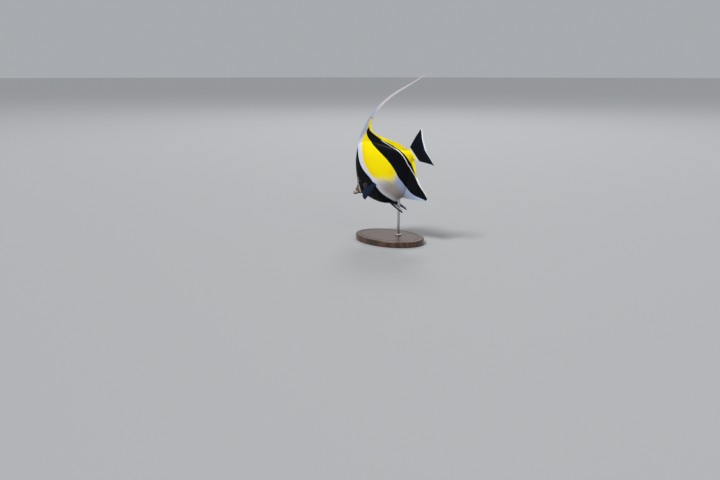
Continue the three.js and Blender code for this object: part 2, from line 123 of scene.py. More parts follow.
def unit(rows: Array) -> Array:
    """Returns vectors scaled to length 1."""
    return rows / np.maximum(np.linalg.norm(rows, axis=-1, keepdims=True), 1e-12)


def run_of(points: Array) -> Array:
    """Returns how far along a line of points each one lies."""
    return np.concatenate([[0], np.cumsum(np.linalg.norm(np.diff(points, axis=0), axis=1))])


@dataclass(frozen=True)
class BodyForm:
    """The body without its fins: the same outline and section as the solids."""

    back: Curve = Curve((
        (0, 0.021), (0.05, 0.032), (0.09, 0.049), (0.12, 0.074), (0.15, 0.118), (0.19, 0.188),
        (0.246, 0.275), (0.3, 0.338), (0.36, 0.394), (0.43, 0.445), (0.5, 0.445), (0.6, 0.395),
        (0.7, 0.312), (0.8, 0.214), (0.9, 0.12), (0.96, 0.088), (1, 0.086),
    ))
    belly: Curve = Curve((
        (0, -0.025), (0.05, -0.037), (0.09, -0.056), (0.12, -0.083), (0.15, -0.124),
        (0.19, -0.182), (0.24, -0.24), (0.3, -0.289), (0.36, -0.321), (0.43, -0.341),
        (0.5, -0.346), (0.56, -0.34), (0.63, -0.31), (0.7, -0.257), (0.8, -0.16),
        (0.9, -0.067), (0.96, -0.034), (1, -0.032),
    ))
    half_width: Curve = Curve((
        (0, 0.017), (0.05, 0.022), (0.1, 0.033), (0.15, 0.046), (0.2, 0.057), (0.26, 0.067),
        (0.33, 0.077), (0.42, 0.084), (0.52, 0.082), (0.62, 0.073), (0.72, 0.058),
        (0.82, 0.04), (0.9, 0.028), (0.96, 0.022), (1, 0.019),
    ))
    waist: Curve = Curve(((0, -0.002), (0.2, -0.005), (0.4, 0.012), (0.7, 0.028), (1, 0.027)))
    upper_sharpness: float = 1.25
    lower_sharpness: float = 1.12

    def sharpness(self, x: Array, up: Array) -> Array:
        """Returns how far the section is pinched, round at the mouth and sharper behind."""
        full = np.where(up, self.upper_sharpness, self.lower_sharpness)
        return blend(1.0, full, ramp(x, 0.01, 0.12))


FORM = BodyForm()


@dataclass(frozen=True)
class Pose:
    """Where the fish sits in the shared frame: pitched and banked, its belly on the rod."""

    length: float = 0.140
    pitch: float = math.radians(30.5)
    bank: float = math.radians(13.2)
    rod_top: Point = (0.014, 0.006, 0.070)
    rod_under: float = 0.505

    @property
    def turn(self) -> Array:
        """The fish's axes, as columns in the shared frame."""
        pitched = Matrix.Rotation(-self.pitch, 3, "Y")
        return np.array(pitched @ Matrix.Rotation(self.bank, 3, "X"))

    @property
    def origin(self) -> Array:
        """The snout tip, in metres."""
        contact = np.array([self.rod_under, 0.0, float(FORM.belly(self.rod_under))])
        return np.array(self.rod_top) - self.turn @ (contact * self.length)

    def to_frame(self, shares: Array) -> Array:
        """Returns points of the fish, given in shares of its length, in metres."""
        return (shares * self.length) @ self.turn.T + self.origin

    def to_shares(self, metres: Array) -> Array:
        """Returns points given in metres as shares of the fish's length."""
        return (metres - self.origin) @ self.turn / self.length


POSE = Pose()


class Slot(Enum):
    """The record's material slots."""

    SKIN = "skin"
    FACE = "face"
    FIN = "fin"
    STREAMER = "streamer"
    EYE = "eye"
    BASE = "base"
    ROD = "rod"


# Making and finishing meshes


def primitive(name: str) -> Piece:
    """Names the primitive just added.

    Args:
        name: The piece's name.

    Returns:
        The primitive.
    """
    made = bpy.context.object
    made.name = made.data.name = name
    return made


def deselect() -> None:
    """Leaves nothing selected, in object mode."""
    bpy.ops.object.select_all(action="DESELECT")


def activate(made: Piece) -> None:
    """Selects a piece alone and makes it the active one.

    Args:
        made: The piece.
    """
    deselect()
    bpy.context.view_layer.objects.active = made
    made.select_set(True)


def coordinates(made: Piece) -> Array:
    """Reads the vertices of a piece.

    Args:
        made: The piece.

    Returns:
        Its vertices as rows.
    """
    flat = np.empty(len(made.data.vertices) * 3)
    made.data.vertices.foreach_get("co", flat)
    return flat.reshape(-1, 3)


def set_coordinates(made: Piece, rows: Array) -> None:
    """Moves the vertices of a mesh object to the given rows."""
    made.data.vertices.foreach_set("co", np.ascontiguousarray(rows).ravel())
    made.data.update()


def plate(name: str, columns: int, rows: int) -> Piece:
    """Makes a closed slab one unit each way, split alike above and below.

    Args:
        name: The piece's name.
        columns: Cells along x.
        rows: Cells along y.

    Returns:
        The slab, with its corner at the origin.
    """
    deselect()
    bpy.ops.mesh.primitive_grid_add(x_subdivisions=columns, y_subdivisions=rows, size=1)
    made = primitive(name)
    bpy.ops.object.mode_set(mode="EDIT")
    bpy.ops.mesh.select_all(action="SELECT")
    bpy.ops.transform.translate(value=(0.5, 0.5, 0))
    bpy.ops.mesh.extrude_region_move(TRANSFORM_OT_translate={"value": (0, 0, 1)})
    bpy.ops.object.mode_set(mode="OBJECT")
    return made


def outward(made: Piece) -> None:
    """Turns every face of a closed piece outwards.

    Args:
        made: The piece.
    """
    activate(made)
    bpy.ops.object.mode_set(mode="EDIT")
    bpy.ops.mesh.select_all(action="SELECT")
    bpy.ops.mesh.normals_make_consistent(inside=False)
    bpy.ops.object.mode_set(mode="OBJECT")


def smooth(made: Piece, degrees: float) -> None:
    """Shades a piece smooth, apart from its sharp edges."""
    activate(made)
    bpy.ops.object.shade_smooth_by_angle(angle=math.radians(degrees))


def mark(made: Piece, name: str, rows: Array) -> None:
    """Stores a vector for each vertex of a piece under a name that its material reads."""
    layer = made.data.attributes.new(name, "FLOAT_VECTOR", "POINT")
    layer.data.foreach_set("vector", np.ascontiguousarray(rows, dtype=np.float32).ravel())


def unwrap(made: Piece, name: str, pairs: Array) -> None:
    """Lays a piece out on a UV map.

    Args:
        made: The piece.
        name: The map's name.
        pairs: One pair for each vertex.
    """
    corner = np.empty(len(made.data.loops), dtype=np.int32)
    made.data.loops.foreach_get("vertex_index", corner)
    layer = made.data.uv_layers.new(name=name)
    layer.data.foreach_set("uv", np.ascontiguousarray(pairs[corner]).ravel())


def dress(made: Piece, finish: Material, slot: Slot, *nodes: str) -> None:
    """Gives a piece its finish and the body it rides on, and hides the solids it stands for.

    Args:
        made: The piece.
        finish: Its material.
        slot: Not used.
        nodes: The solids, where it stands for any.
    """
    made.data.materials.clear()
    made.data.materials.append(finish)
    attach(made, BODY)
    if nodes:
        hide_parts(*nodes)
    made.data.calc_loop_triangles()
    log.info("%s: %d triangles", made.name, len(made.data.loop_triangles))


# Finishes


def linear(red: int, green: int, blue: int) -> Colour:
    """Returns an eight-bit screen colour as the linear colour that a shader takes."""
    parts = [v / 255 for v in (red, green, blue)]
    return (*[p / 12.92 if p <= 0.04045 else ((p + 0.055) / 1.055) ** 2.4 for p in parts], 1.0)


class Graph:
    """Adds and links the nodes of one material or node group."""

    def __init__(self, tree: Tree) -> None:
        """Starts on a tree, which it empties."""
        self.tree = tree
        tree.nodes.clear()

    def add(self, kind: str, **settings: object) -> bpy.types.Node:
        """Adds a node.

        Args:
            kind: Its type.
            settings: Its settings by name.

        Returns:
            The node.
        """
        node = self.tree.nodes.new(kind)
        for key, value in settings.items():
            setattr(node, key, value)
        return node

    def feed(self, socket: Socket, value: object) -> None:
        """Links a socket to a value, or sets it where the value is a plain number or colour.

        Args:
            socket: The input to feed.
            value: What it takes.
        """
        if isinstance(value, Socket):
            self.tree.links.new(value, socket)
        else:
            socket.default_value = value

    def math(self, operation: str, *values: object) -> Socket:
        """Adds a Math node.

        Args:
            operation: What it does.
            values: Its inputs in order.

        Returns:
            Its result.
        """
        node = self.add("ShaderNodeMath", operation=operation)
        for socket, value in zip(node.inputs, values):
            self.feed(socket, value)
        return node.outputs[0]

    def product(self, first: object, *others: object) -> Socket:
        """Multiplies values together.

        Args:
            first: One value.
            others: The rest.

        Returns:
            Their product.
        """
        for value in others:
            first = self.math("MULTIPLY", first, value)
        return first

    def scale(self, value: object, factor: float, offset: object) -> Socket:
        """Returns value times factor plus offset."""
        return self.math("MULTIPLY_ADD", value, factor, offset)

    def step(self, value: object, low: float, high: float) -> Socket:
        """Makes a smooth rise from 0 to 1.

        Args:
            value: What it runs over.
            low: Where it is 0.
            high: Where it is 1, which may be the lower.

        Returns:
            The rise.
        """
        node = self.add("ShaderNodeMapRange", interpolation_type="SMOOTHSTEP")
        for socket, given in zip(node.inputs, (value, low, high, 0.0, 1.0)):
            self.feed(socket, given)
        return node.outputs[0]

    def mix(self, factor: object, first: object, second: object, how: str = "MIX") -> Socket:
        """Mixes two colours.

        Args:
            factor: The share of the second.
            first: One colour.
            second: The other.
            how: The blending mode.

        Returns:
            The mix.
        """
        node = self.add("ShaderNodeMix", data_type="RGBA", blend_type=how)
        for index, value in ((0, factor), (6, first), (7, second)):
            self.feed(node.inputs[index], value)
        return node.outputs[2]

    def noise(self, place: object, scale: float, detail: float = 3) -> Socket:
        """Adds a noise.

        Args:
            place: What it runs over.
            scale: How fine it is.
            detail: How many finer layers it has.

        Returns:
            The noise, between 0 and 1.
        """
        node = self.add("ShaderNodeTexNoise")
        self.feed(node.inputs["Vector"], place)
        node.inputs["Scale"].default_value = scale
        node.inputs["Detail"].default_value = detail
        return node.outputs[0]

    def split(self, vector: object) -> list[Socket]:
        """Splits a vector.

        Args:
            vector: The vector.

        Returns:
            Its three parts.
        """
        node = self.add("ShaderNodeSeparateXYZ")
        self.feed(node.inputs[0], vector)
        return list(node.outputs)

    def stretched(self, place: object, along: Point) -> Socket:
        """Stretches a place.

        Args:
            place: The place.
            along: The factor along each axis.

        Returns:
            The scaled place.
        """
        node = self.add("ShaderNodeMapping")
        self.feed(node.inputs["Vector"], place)
        node.inputs["Scale"].default_value = along
        return node.outputs[0]

    def between_rays(self, ray: object) -> Socket:
        """Returns 0 on each ray and 1 midway between two, from a count of rays."""
        wave = self.math("COSINE", self.product(ray, 2 * math.pi))
        return self.scale(wave, -0.5, 0.5)

    def attribute(self, name: str) -> Socket:
        """Returns a stored vector."""
        return self.add("ShaderNodeAttribute", attribute_name=name).outputs["Vector"]

    def bump(self, height: object, distance: float, strength: float = 1) -> Socket:
        """Bumps the normal by a height.

        Args:
            height: The height, between 0 and 1.
            distance: How tall 1 is, in metres.
            strength: How much of it shows.

        Returns:
            The bumped normal.
        """
        node = self.add("ShaderNodeBump")
        node.inputs["Distance"].default_value = distance
        node.inputs["Strength"].default_value = strength
        self.feed(node.inputs["Height"], height)
        return node.outputs[0]


class Surface(Graph):
    """The graph of a new material, with the shader that its looks feed."""

    def __init__(self, name: str) -> None:
        """Starts a material.

        Args:
            name: The material's name.
        """
        self.made = bpy.data.materials.new(name)
        self.made.use_nodes = True
        super().__init__(self.made.node_tree)
        self.shader = self.add("ShaderNodeBsdfPrincipled")
        output = self.add("ShaderNodeOutputMaterial")
        self.feed(output.inputs["Surface"], self.shader.outputs[0])

    def spot(self) -> Socket:
        """Returns the place on the piece, in metres."""
        return self.add("ShaderNodeTexCoord").outputs["Object"]

    def painted(self, markings: Tree) -> Socket:
        """Paints with the markings at the stored place.

        Args:
            markings: The group that paints.

        Returns:
            The colour.
        """
        group = self.add("ShaderNodeGroup", node_tree=markings)
        self.feed(group.inputs[0], self.attribute("place"))
        return group.outputs[0]

    def done(
        self,
        paint: object,
        rough: object,
        normal: Socket | None = None,
        constants: dict[str, float] | None = None,
    ) -> Material:
        """Feeds the shader and returns the finished material.

        Args:
            paint: The colour.
            rough: The roughness.
            normal: The bumped normal, where it has one.
            constants: The shader's other inputs by name.

        Returns:
            The material.
        """
        self.feed(self.shader.inputs["Base Color"], paint)
        self.feed(self.shader.inputs["Roughness"], rough)
        if normal is not None:
            self.feed(self.shader.inputs["Normal"], normal)
        for name, value in (constants or {}).items():
            self.shader.inputs[name].default_value = value
        return self.made

    def web_done(self, paint: Socket, rough: Socket) -> Material:
        """Feeds the shader of a fin's web, which has a fine grain.

        Args:
            paint: The colour.
            rough: The roughness.

        Returns:
            The finished material.
        """
        grain = self.bump(self.noise(self.spot(), 1800, 2), 0.00004)
        return self.done(paint, rough, grain, {"Specular IOR Level": 0.12})


@dataclass(frozen=True)
class Palette:
    """The fish's colours, as linear colours."""

    yellow: Colour = linear(255, 234, 0)
    deep_yellow: Colour = linear(246, 204, 2)
    white: Colour = linear(222, 227, 243)
    belly_white: Colour = linear(206, 205, 214)
    line_white: Colour = linear(247, 247, 250)
    lilac: Colour = linear(180, 186, 206)
    # Painted shade of the lower belly, as if lit from above, darkest at the bottom
    belly_shade: Colour = linear(164, 153, 148)
    deep_belly_shade: Colour = linear(140, 132, 132)
    lavender: Colour = linear(158, 170, 200)
    pale_blue: Colour = linear(192, 210, 236)
    black: Colour = linear(3, 6, 11)
    blue_black: Colour = linear(5, 12, 26)
    orange: Colour = linear(146, 102, 70)
    brown: Colour = linear(112, 86, 66)
    blaze: Colour = linear(196, 184, 182)
    bone: Colour = linear(178, 168, 160)
    lip: Colour = linear(142, 136, 130)


@dataclass(frozen=True)
class Markings:
    """The bands, each as an edge x over height z, in shares of the length."""

    colours: Palette = Palette()
    low: float = -0.6
    span: float = 2.0
    snout_edge: Knots = (
        (-0.09, 0.1), (-0.041, 0.116), (-0.007, 0.135), (0.035, 0.148), (0.07, 0.16),
        (0.0933, 0.174), (0.1265, 0.198), (0.15, 0.208), (0.17, 0.225),
    )
    face_edge: Knots = (
        (-0.4, 0.47), (-0.34, 0.45), (-0.302, 0.443), (-0.242, 0.418), (-0.16, 0.391),
        (-0.085, 0.384), (-0.009, 0.38), (0.063, 0.371), (0.139, 0.352), (0.198, 0.343),
        (0.261, 0.347), (0.326, 0.365), (0.395, 0.397), (0.43, 0.412), (0.455, 0.419),
    )
    yellow_edge: Knots = (
        (-0.2, 0.43), (-0.026, 0.418), (0.043, 0.416), (0.105, 0.406), (0.183, 0.402),
        (0.244, 0.409), (0.299, 0.43), (0.369, 0.46), (0.448, 0.492), (0.488, 0.55),
        (0.506, 0.597), (0.522, 0.628), (0.541, 0.655), (0.565, 0.693), (0.596, 0.735),
        (0.62, 0.776), (0.644, 0.834),
    )
    yellow_floor: Knots = (
        (0.38, 0.03), (0.449, 0.005), (0.479, -0.04), (0.536, -0.053), (0.569, -0.085),
        (0.613, -0.112), (0.65, -0.105), (0.69, -0.088), (0.72, -0.08),
    )
    rear_band_edge: Knots = (
        (-0.5, 0.812), (-0.437, 0.759), (-0.384, 0.718), (-0.332, 0.698), (-0.2685, 0.69),
        (-0.207, 0.699), (-0.12, 0.7), (-0.035, 0.711), (0.054, 0.709), (0.141, 0.693),
        (0.219, 0.668), (0.306, 0.635), (0.388, 0.606), (0.458, 0.597), (0.505, 0.611),
        (0.525, 0.628), (0.54, 0.66), (0.552, 0.7), (0.57, 0.74), (0.6, 0.79), (0.66, 0.87),
    )
    pale_line: Knots = (
        (-0.5, 0.852), (-0.447, 0.857), (-0.382, 0.8585), (-0.315, 0.858), (-0.252, 0.8645),
        (-0.2, 0.872), (-0.134, 0.872), (-0.068, 0.879), (0.005, 0.893), (0.072, 0.889),
        (0.137, 0.863), (0.203, 0.818), (0.275, 0.774), (0.334, 0.735), (0.4, 0.69),
    )
    rear_yellow_edge: Knots = (
        (-0.26, 0.884), (-0.213, 0.878), (-0.173, 0.889), (-0.115, 0.905), (-0.052, 0.918),
        (0.015, 0.925), (0.075, 0.912), (0.12, 0.888), (0.169, 0.858), (0.24, 0.818),
        (0.297, 0.774), (0.343, 0.74), (0.386, 0.717), (0.422, 0.699), (0.459, 0.684),
        (0.491, 0.674), (0.517, 0.672), (0.54, 0.685), (0.565, 0.716), (0.6, 0.752), (0.64, 0.802),
        (0.67, 0.86),
    )
    streamer_root: Knots = (
        (0.68, 0.645), (0.738, 0.613), (0.767, 0.598), (0.8, 0.582), (0.86, 0.55),
    )
    saddle_front: Knots = (
        (-0.045, 0.094), (-0.03, 0.085), (0.0, 0.067), (0.03, 0.05), (0.06, 0.044),
    )
    line_front: Knots = (
        (-0.09, 0.074), (-0.041, 0.09), (-0.007, 0.113), (0.035, 0.13), (0.07, 0.146),
        (0.0933, 0.162), (0.1265, 0.188), (0.15, 0.212), (0.17, 0.24),
    )
    chin_top: Knots = (
        (-0.01, -0.012), (0.03, -0.016), (0.06, -0.024), (0.09, -0.036), (0.12, -0.05),
    )

    def group(self) -> Tree:
        """Builds the node group that paints any place on the fish.

        Returns:
            A group that takes a place and gives its colour.
        """
        tree = bpy.data.node_groups.new("Markings", "ShaderNodeTree")
        face = tree.interface
        face.new_socket(name="Place", in_out="INPUT", socket_type="NodeSocketVector")
        face.new_socket(name="Color", in_out="OUTPUT", socket_type="NodeSocketColor")
        g = Graph(tree)
        place = g.add("NodeGroupInput").outputs[0]
        fray = g.scale(g.noise(place, 150, 2), 0.004, -0.002)
        along, _, upward = g.split(place)
        x, z = (self._scaled(g, g.math("ADD", part, fray)) for part in (along, upward))

        def past(knots: Knots, soft: float, shift: float = 0.0) -> Socket:
            """Returns 1 behind an edge, which is moved tailwards by shift."""
            return self._past(g, x, z, tuple((u, v + shift) for u, v in knots), soft)

        def rise(low: float, high: float) -> Socket:
            """Returns a smooth rise over the height, from 0 at low to 1 at high."""
            return g.step(z, self._at(low), self._at(high))

        c = self.colours
        slow = g.noise(place, 9, 2)
        yellow = g.mix(g.product(g.step(slow, 0.45, 0.85), 0.5), c.yellow, c.deep_yellow)
        golden = g.mix(0.55, yellow, g.mix(rise(0.46, 0.36), yellow, c.deep_yellow))
        yellow = g.mix(past(self.yellow_edge, 0.07, 0.045), golden, yellow)
        white = g.mix(rise(0.45, 0.53), c.white, c.lilac)
        black = g.mix(g.step(slow, 0.4, 0.8), c.black, c.blue_black)

        # The snout: lips, then the saddle edged in black, then the pale line edged in black
        paint = g.mix(g.step(x, self._at(0.03), self._at(0.0)), c.bone, c.lip)
        paint = g.mix(past(self.saddle_front, 0.003), paint, black)
        saddle = g.mix(g.step(slow, 0.3, 0.7), c.orange, c.brown)
        on_snout = g.product(rise(-0.03, -0.02), rise(0.046, 0.038))
        paint = g.mix(g.product(past(self.saddle_front, 0.004, 0.0075), on_snout), paint, saddle)
        paint = g.mix(past(self.line_front, 0.003, -0.004), paint, black)
        paint = g.mix(past(self.line_front, 0.003), paint, c.blaze)
        paint = g.mix(self._past(g, z, x, self.chin_top, 0.004), black, paint)

        # The black face, the pale belly with painted shade on its lower part, and the yellow flank
        # behind it
        paint = g.mix(past(self.snout_edge, 0.003), paint, black)
        paint = g.mix(past(self.face_edge, 0.004), paint, self._belly(g, x, z, white))
        mottle = g.scale(g.noise(place, 22, 3), 0.06 / self.span, -0.03 / self.span)
        above_floor = self._past(g, g.math("ADD", z, mottle), x, self.yellow_floor, 0.13)
        paint = g.mix(g.product(past(self.yellow_edge, 0.042), above_floor), paint, yellow)

        # The rear black band with its pale line, and the yellow rear edge of the fins
        paint = g.mix(past(self.rear_band_edge, 0.004), paint, black)
        below_top = rise(0.355, 0.31)
        half_line = 0.0042
        line = g.product(past(self.pale_line, 0.003, -half_line), below_top)
        paint = g.mix(line, paint, c.line_white)
        above_fin = rise(-0.235, -0.2)
        behind_line = g.product(past(self.pale_line, 0.003, half_line), above_fin, below_top)
        paint = g.mix(behind_line, paint, black)
        rear = g.product(past(self.rear_yellow_edge, 0.004), rise(-0.245, -0.2))
        paint = g.mix(rear, paint, yellow)
        paint = g.mix(self._past(g, z, x, self.streamer_root, 0.05), paint, white)
        g.feed(g.add("NodeGroupOutput").inputs[0], paint)
        return tree

    def _belly(self, g: Graph, x: Socket, z: Socket, white: Socket) -> Socket:
        """Mixes the paint behind the face: white above and painted shade below, as if lit from
        above: taupe that darkens towards the bottom, over the belly's own lavender and pale blue
        tint towards the tail.

        Args:
            g: The group's graph.
            x: The place along the fish.
            z: The height on it.
            white: The white of the upper part.

        Returns:
            The paint.
        """
        c = self.colours
        # Painted shade: the taupe darkens towards the bottom of the belly
        belly_shade = g.mix(g.step(z, self._at(-0.2), self._at(-0.34)), c.belly_shade, c.deep_belly_shade)
        near_face = tuple((u, v + 0.05) for u, v in self.face_edge)
        # Near the face edge the painted shade gives way to the belly white
        belly_shade = g.mix(self._past(g, x, z, near_face, 0.09), c.belly_white, belly_shade)
        blue = g.mix(g.step(x, self._at(0.66), self._at(0.8)), c.lavender, c.pale_blue)
        low = g.mix(g.step(x, self._at(0.58), self._at(0.67)), belly_shade, blue)
        # Painted shade: the lower belly is painted darker than the white above it
        return g.mix(g.step(z, self._at(0.06), self._at(-0.18)), white, low)

    def _at(self, share: float) -> float:
        """Returns a share of the length on the curves' own 0 to 1 range."""
        return (share - self.low) / self.span

    def _scaled(self, g: Graph, value: Socket) -> Socket:
        """Returns a coordinate on the curves' own 0 to 1 range."""
        return g.scale(value, 1 / self.span, -self.low / self.span)

    def _past(self, g: Graph, value: Socket, along: Socket, knots: Knots, soft: float) -> Socket:
        """Draws an edge through knots.

        Args:
            g: The group's graph.
            value: The coordinate that steps over the edge.
            along: The coordinate that the edge runs over.
            knots: The edge, in shares.
            soft: The width of the step.

        Returns:
            1 past the edge and 0 before it.
        """
        node = g.add("ShaderNodeFloatCurve")
        points = node.mapping.curves[0].points
        for i, (u, v) in enumerate((self._at(u), self._at(v)) for u, v in knots):
            if i >= len(points):
                points.new(u, v)
            points[i].location = (u, v)
        node.mapping.use_clip = False
        node.mapping.extend = "HORIZONTAL"
        node.mapping.update()
        g.feed(node.inputs["Value"], along)
        gap = g.math("SUBTRACT", value, node.outputs[0])
        half = soft / self.span / 2
        return g.step(gap, -half, half)


@dataclass(frozen=True)
class LivingSkin:
    """The finish of skin and scales: the markings under a thin wet film."""

    name: str
    markings: Tree
    roughness: float = 0.42
    coat: float = 0.03
    grain: float = 1500.0
    grain_depth: float = 0.00005

    def material(self) -> Material:
        """Builds the material.

        Returns:
            The finished material.
        """
        s = Surface(self.name)
        spot = s.spot()
        rough = s.scale(s.noise(spot, 400), 0.16, self.roughness - 0.08)
        normal = s.bump(s.noise(spot, self.grain, 2), self.grain_depth)
        film = {"Coat Weight": self.coat, "Coat Roughness": 0.25, "Specular IOR Level": 0.09}
        return s.done(s.painted(self.markings), rough, normal, film)


@dataclass(frozen=True)
class FinWeb:
    """The web and rays of a median fin, which carry the body's bands on to its margin."""

    name: str
    markings: Tree
    # Painted shade: the colour the web is darkened towards between the rays, as if shaded in the
    # furrows
    shade: Colour = (0.6, 0.56, 0.5, 1)

    def material(self) -> Material:
        """Builds the material.

        Returns:
            The finished material.
        """
        s = Surface(self.name)
        web = s.between_rays(s.split(s.attribute("web"))[0])
        # Painted shade: the web is painted darker between the rays
        paint = s.mix(s.product(web, 0.3), s.painted(self.markings), self.shade, "MULTIPLY")
        return s.web_done(paint, s.scale(web, -0.1, 0.5))


@dataclass(frozen=True)
class TailFinish:
    """Black tail web with a crisp white margin and a pale beaded line across its root."""

    palette: Palette = Palette()
    margin: float = 0.0024
    line_from: float = 1.0065
    line_to: float = 1.0215
    line_slant: float = 0.05

    def material(self) -> Material:
        """Builds the material.

        Returns:
            The finished material.
        """
        s = Surface("Tail web")
        c = self.palette
        ray, _, rim = s.split(s.attribute("web"))
        place = s.attribute("place")
        x, _, z = s.split(place)
        web = s.between_rays(ray)
        along = s.scale(z, self.line_slant, x)
        past_line = s.step(along, self.line_to - 0.002, self.line_to + 0.001)
        paint = s.mix(past_line, c.yellow, s.mix(web, c.blue_black, c.black))
        in_line = s.step(along, self.line_from - 0.0015, self.line_from + 0.0015)
        line = s.product(in_line, s.math("SUBTRACT", 1.0, past_line), s.scale(web, 0.25, 0.75))
        paint = s.mix(line, paint, c.white)
        wander = s.scale(s.noise(place, 90, 2), 0.0006, -0.0003)
        edge = s.step(s.math("ADD", rim, wander), self.margin + 0.0002, self.margin - 0.0002)
        return s.web_done(s.mix(edge, paint, c.white), s.scale(web, -0.1, 0.5))


@dataclass(frozen=True)
class PairedFinFinish:
    """A dark paired fin: dusky web, darker rays and a pale streak along it where it has one."""

    name: str
    web: Colour
    ray: Colour
    tip: Colour
    streak: Colour
    streak_from: float = 2.0
    streak_to: float = 2.0
    roughness: float = 0.45

    def material(self) -> Material:
        """Builds the material.

        Returns:
            The finished material.
        """
        s = Surface(self.name)
        ray, root, _ = s.split(s.attribute("web"))
        paint = s.mix(s.between_rays(ray), self.ray, self.web)
        cloudy = s.noise(s.attribute("place"), 40, 3)
        paint = s.mix(s.step(cloudy, 0.35, 0.75), paint, self.ray)
        paint = s.mix(s.product(s.step(root, 0.008, 0.02), 0.8), paint, self.tip)
        past_start = s.step(ray, self.streak_from - 0.12, self.streak_from + 0.12)
        before_end = s.step(ray, self.streak_to + 0.12, self.streak_to - 0.12)
        pale = s.product(past_start, before_end, s.step(root, 0.005, 0.014))
        rough = s.scale(cloudy, 0.15, self.roughness - 0.07)
        return s.web_done(s.mix(pale, paint, self.streak), rough)


@dataclass(frozen=True)
class StreamerFinish:
    """Pinkish white filament, finely lined along its length, faintly yellow at its root."""

    palette: Palette = Palette()
    pale: Colour = linear(238, 229, 238)
    thread: Colour = linear(216, 205, 214)

    def material(self) -> Material:
        """Builds the material.

        Returns:
            The finished material.
        """
        s = Surface("Streamer")
        c = self.palette
        web = s.attribute("web")
        across = s.split(web)[0]
        x = s.split(s.attribute("place"))[0]
        threads = s.noise(s.stretched(web, (26, 900, 1)), 1, 2)
        paint = s.mix(s.step(threads, 0.35, 0.7), self.pale, self.thread)
        paint = s.mix(s.step(x, 1.02, 0.8), paint, c.lilac)
        slant, at_x, at_across = 4.5, 0.79, 0.35
        yellow_edge = s.scale(x, slant, at_across - slant * at_x)
        behind = s.step(s.math("SUBTRACT", across, yellow_edge), -0.12, 0.12)
        faded = s.product(s.step(x, 0.9, 0.8), 0.2)
        paint = s.mix(s.product(behind, faded), paint, c.yellow)
        rear_rim = s.step(across, 0.72, 1.0)
        dusky = s.product(rear_rim, s.step(x, 1.3, 1.05), s.step(x, 0.9, 1.0), 0.4)
        paint = s.mix(dusky, paint, c.blue_black)
        rough = s.scale(threads, 0.2, 0.35)
        return s.done(paint, rough, s.bump(threads, 0.00008), {"Specular IOR Level": 0.2})


@dataclass(frozen=True)
class SpineFinish:
    """Bone-hard spine: one colour at its root and another at its tip."""

    name: str
    root: Colour
    tip: Colour

    def material(self) -> Material:
        """Builds the material.

        Returns:
            The finished material.
        """
        s = Surface(self.name)
        along = s.split(s.attribute("web"))[0]
        grain = s.noise(s.spot(), 900, 3)
        paint = s.mix(s.step(along, 0.3, 1.0), self.root, self.tip)
        return s.done(paint, s.scale(grain, 0.2, 0.3), s.bump(grain, 0.00005))


@dataclass(frozen=True)
class EyeFinish:
    """A wet eye: black pupil, a streaked brown iris and a dark outer ring."""

    pupil: float = 0.43
    iris: float = 0.74
    brown: Colour = linear(36, 22, 14)
    amber: Colour = linear(80, 48, 26)
    dark: Colour = linear(9, 7, 8)

    def material(self) -> Material:
        """Builds the material.

        Returns:
            The finished material.
        """
        s = Surface("Wet eye")
        rings = s.attribute("rings")
        out = s.split(rings)[0]
        streaks = s.noise(s.stretched(rings, (3, 9, 1)), 2.2, 3)
        iris = s.mix(s.step(streaks, 0.35, 0.65), self.brown, self.amber)
        iris = s.mix(s.step(out, self.iris - 0.16, self.iris), iris, self.brown)
        paint = s.mix(s.step(out, self.pupil - 0.02, self.pupil + 0.02), self.dark, iris)
        ring_start = s.step(out, self.pupil, self.pupil + 0.03)
        ring_end = s.step(out, self.pupil + 0.09, self.pupil + 0.05)
        paint = s.mix(s.product(ring_start, ring_end, 0.7), paint, self.amber)
        paint = s.mix(s.step(out, self.iris, self.iris + 0.05), paint, self.dark)
        wet = {"Specular IOR Level": 0.3, "Coat Weight": 0.5, "Coat Roughness": 0.03}
        return s.done(paint, 0.22, constants=wet)


@dataclass(frozen=True)
class StainedWood:
    """Dark stained hardwood, satin lacquered, with its grain along the base."""

    dark: Colour = linear(44, 28, 18)
    light: Colour = linear(84, 55, 34)

    def material(self) -> Material:
        """Builds the material.

        Returns:
            The finished material.
        """
        s = Surface("Stained hardwood")
        spot = s.spot()
        warp = s.noise(s.stretched(spot, (6, 40, 40)), 1, 4)
        rings = s.add("ShaderNodeTexWave", wave_type="BANDS", bands_direction="Y")
        s.feed(rings.inputs["Vector"], s.stretched(spot, (4, 55, 55)))
        for name, value in (("Scale", 0.9), ("Distortion", 7), ("Detail", 3)):
            rings.inputs[name].default_value = value
        pores = s.noise(s.stretched(spot, (120, 2600, 2600)), 1, 2)
        tone = s.math("MULTIPLY_ADD", warp, 0.4, s.product(rings.outputs[1], 0.5))
        paint = s.mix(s.step(tone, 0.15, 0.75), self.dark, self.light)
        paint = s.mix(s.step(pores, 0.58, 0.68), paint, self.dark)
        lacquer = {"Coat Weight": 0.3, "Coat Roughness": 0.2}
        return s.done(paint, s.scale(warp, 0.16, 0.3), s.bump(pores, 0.00012, 0.5), lacquer)


@dataclass(frozen=True)
class BrushedSteel:
    """Steel drawn lengthwise, with fine scratches round the rod."""

    tint: Colour = (0.56, 0.57, 0.58, 1.0)
    smudged: Colour = (0.48, 0.49, 0.5, 1)

    def material(self) -> Material:
        """Builds the material.

        Returns:
            The finished material.
        """
        s = Surface("Brushed steel")
        spot = s.spot()
        lines = s.noise(s.stretched(spot, (2500, 2500, 90)), 1, 2)
        smudge = s.noise(spot, 110, 3)
        paint = s.mix(smudge, self.tint, self.smudged)
        normal = s.bump(lines, 0.00006, 0.6)
        return s.done(paint, s.scale(smudge, 0.16, 0.22), normal, {"Metallic": 1.0})


# The skin of the head, trunk and tail root


@dataclass(frozen=True)
class Eye:
    """An eye's place and size, in shares of the length."""

    x: float = 0.25
    z: float = 0.002
    side: float = 0.051
    radius: float = 0.041
    depth: float = 0.024


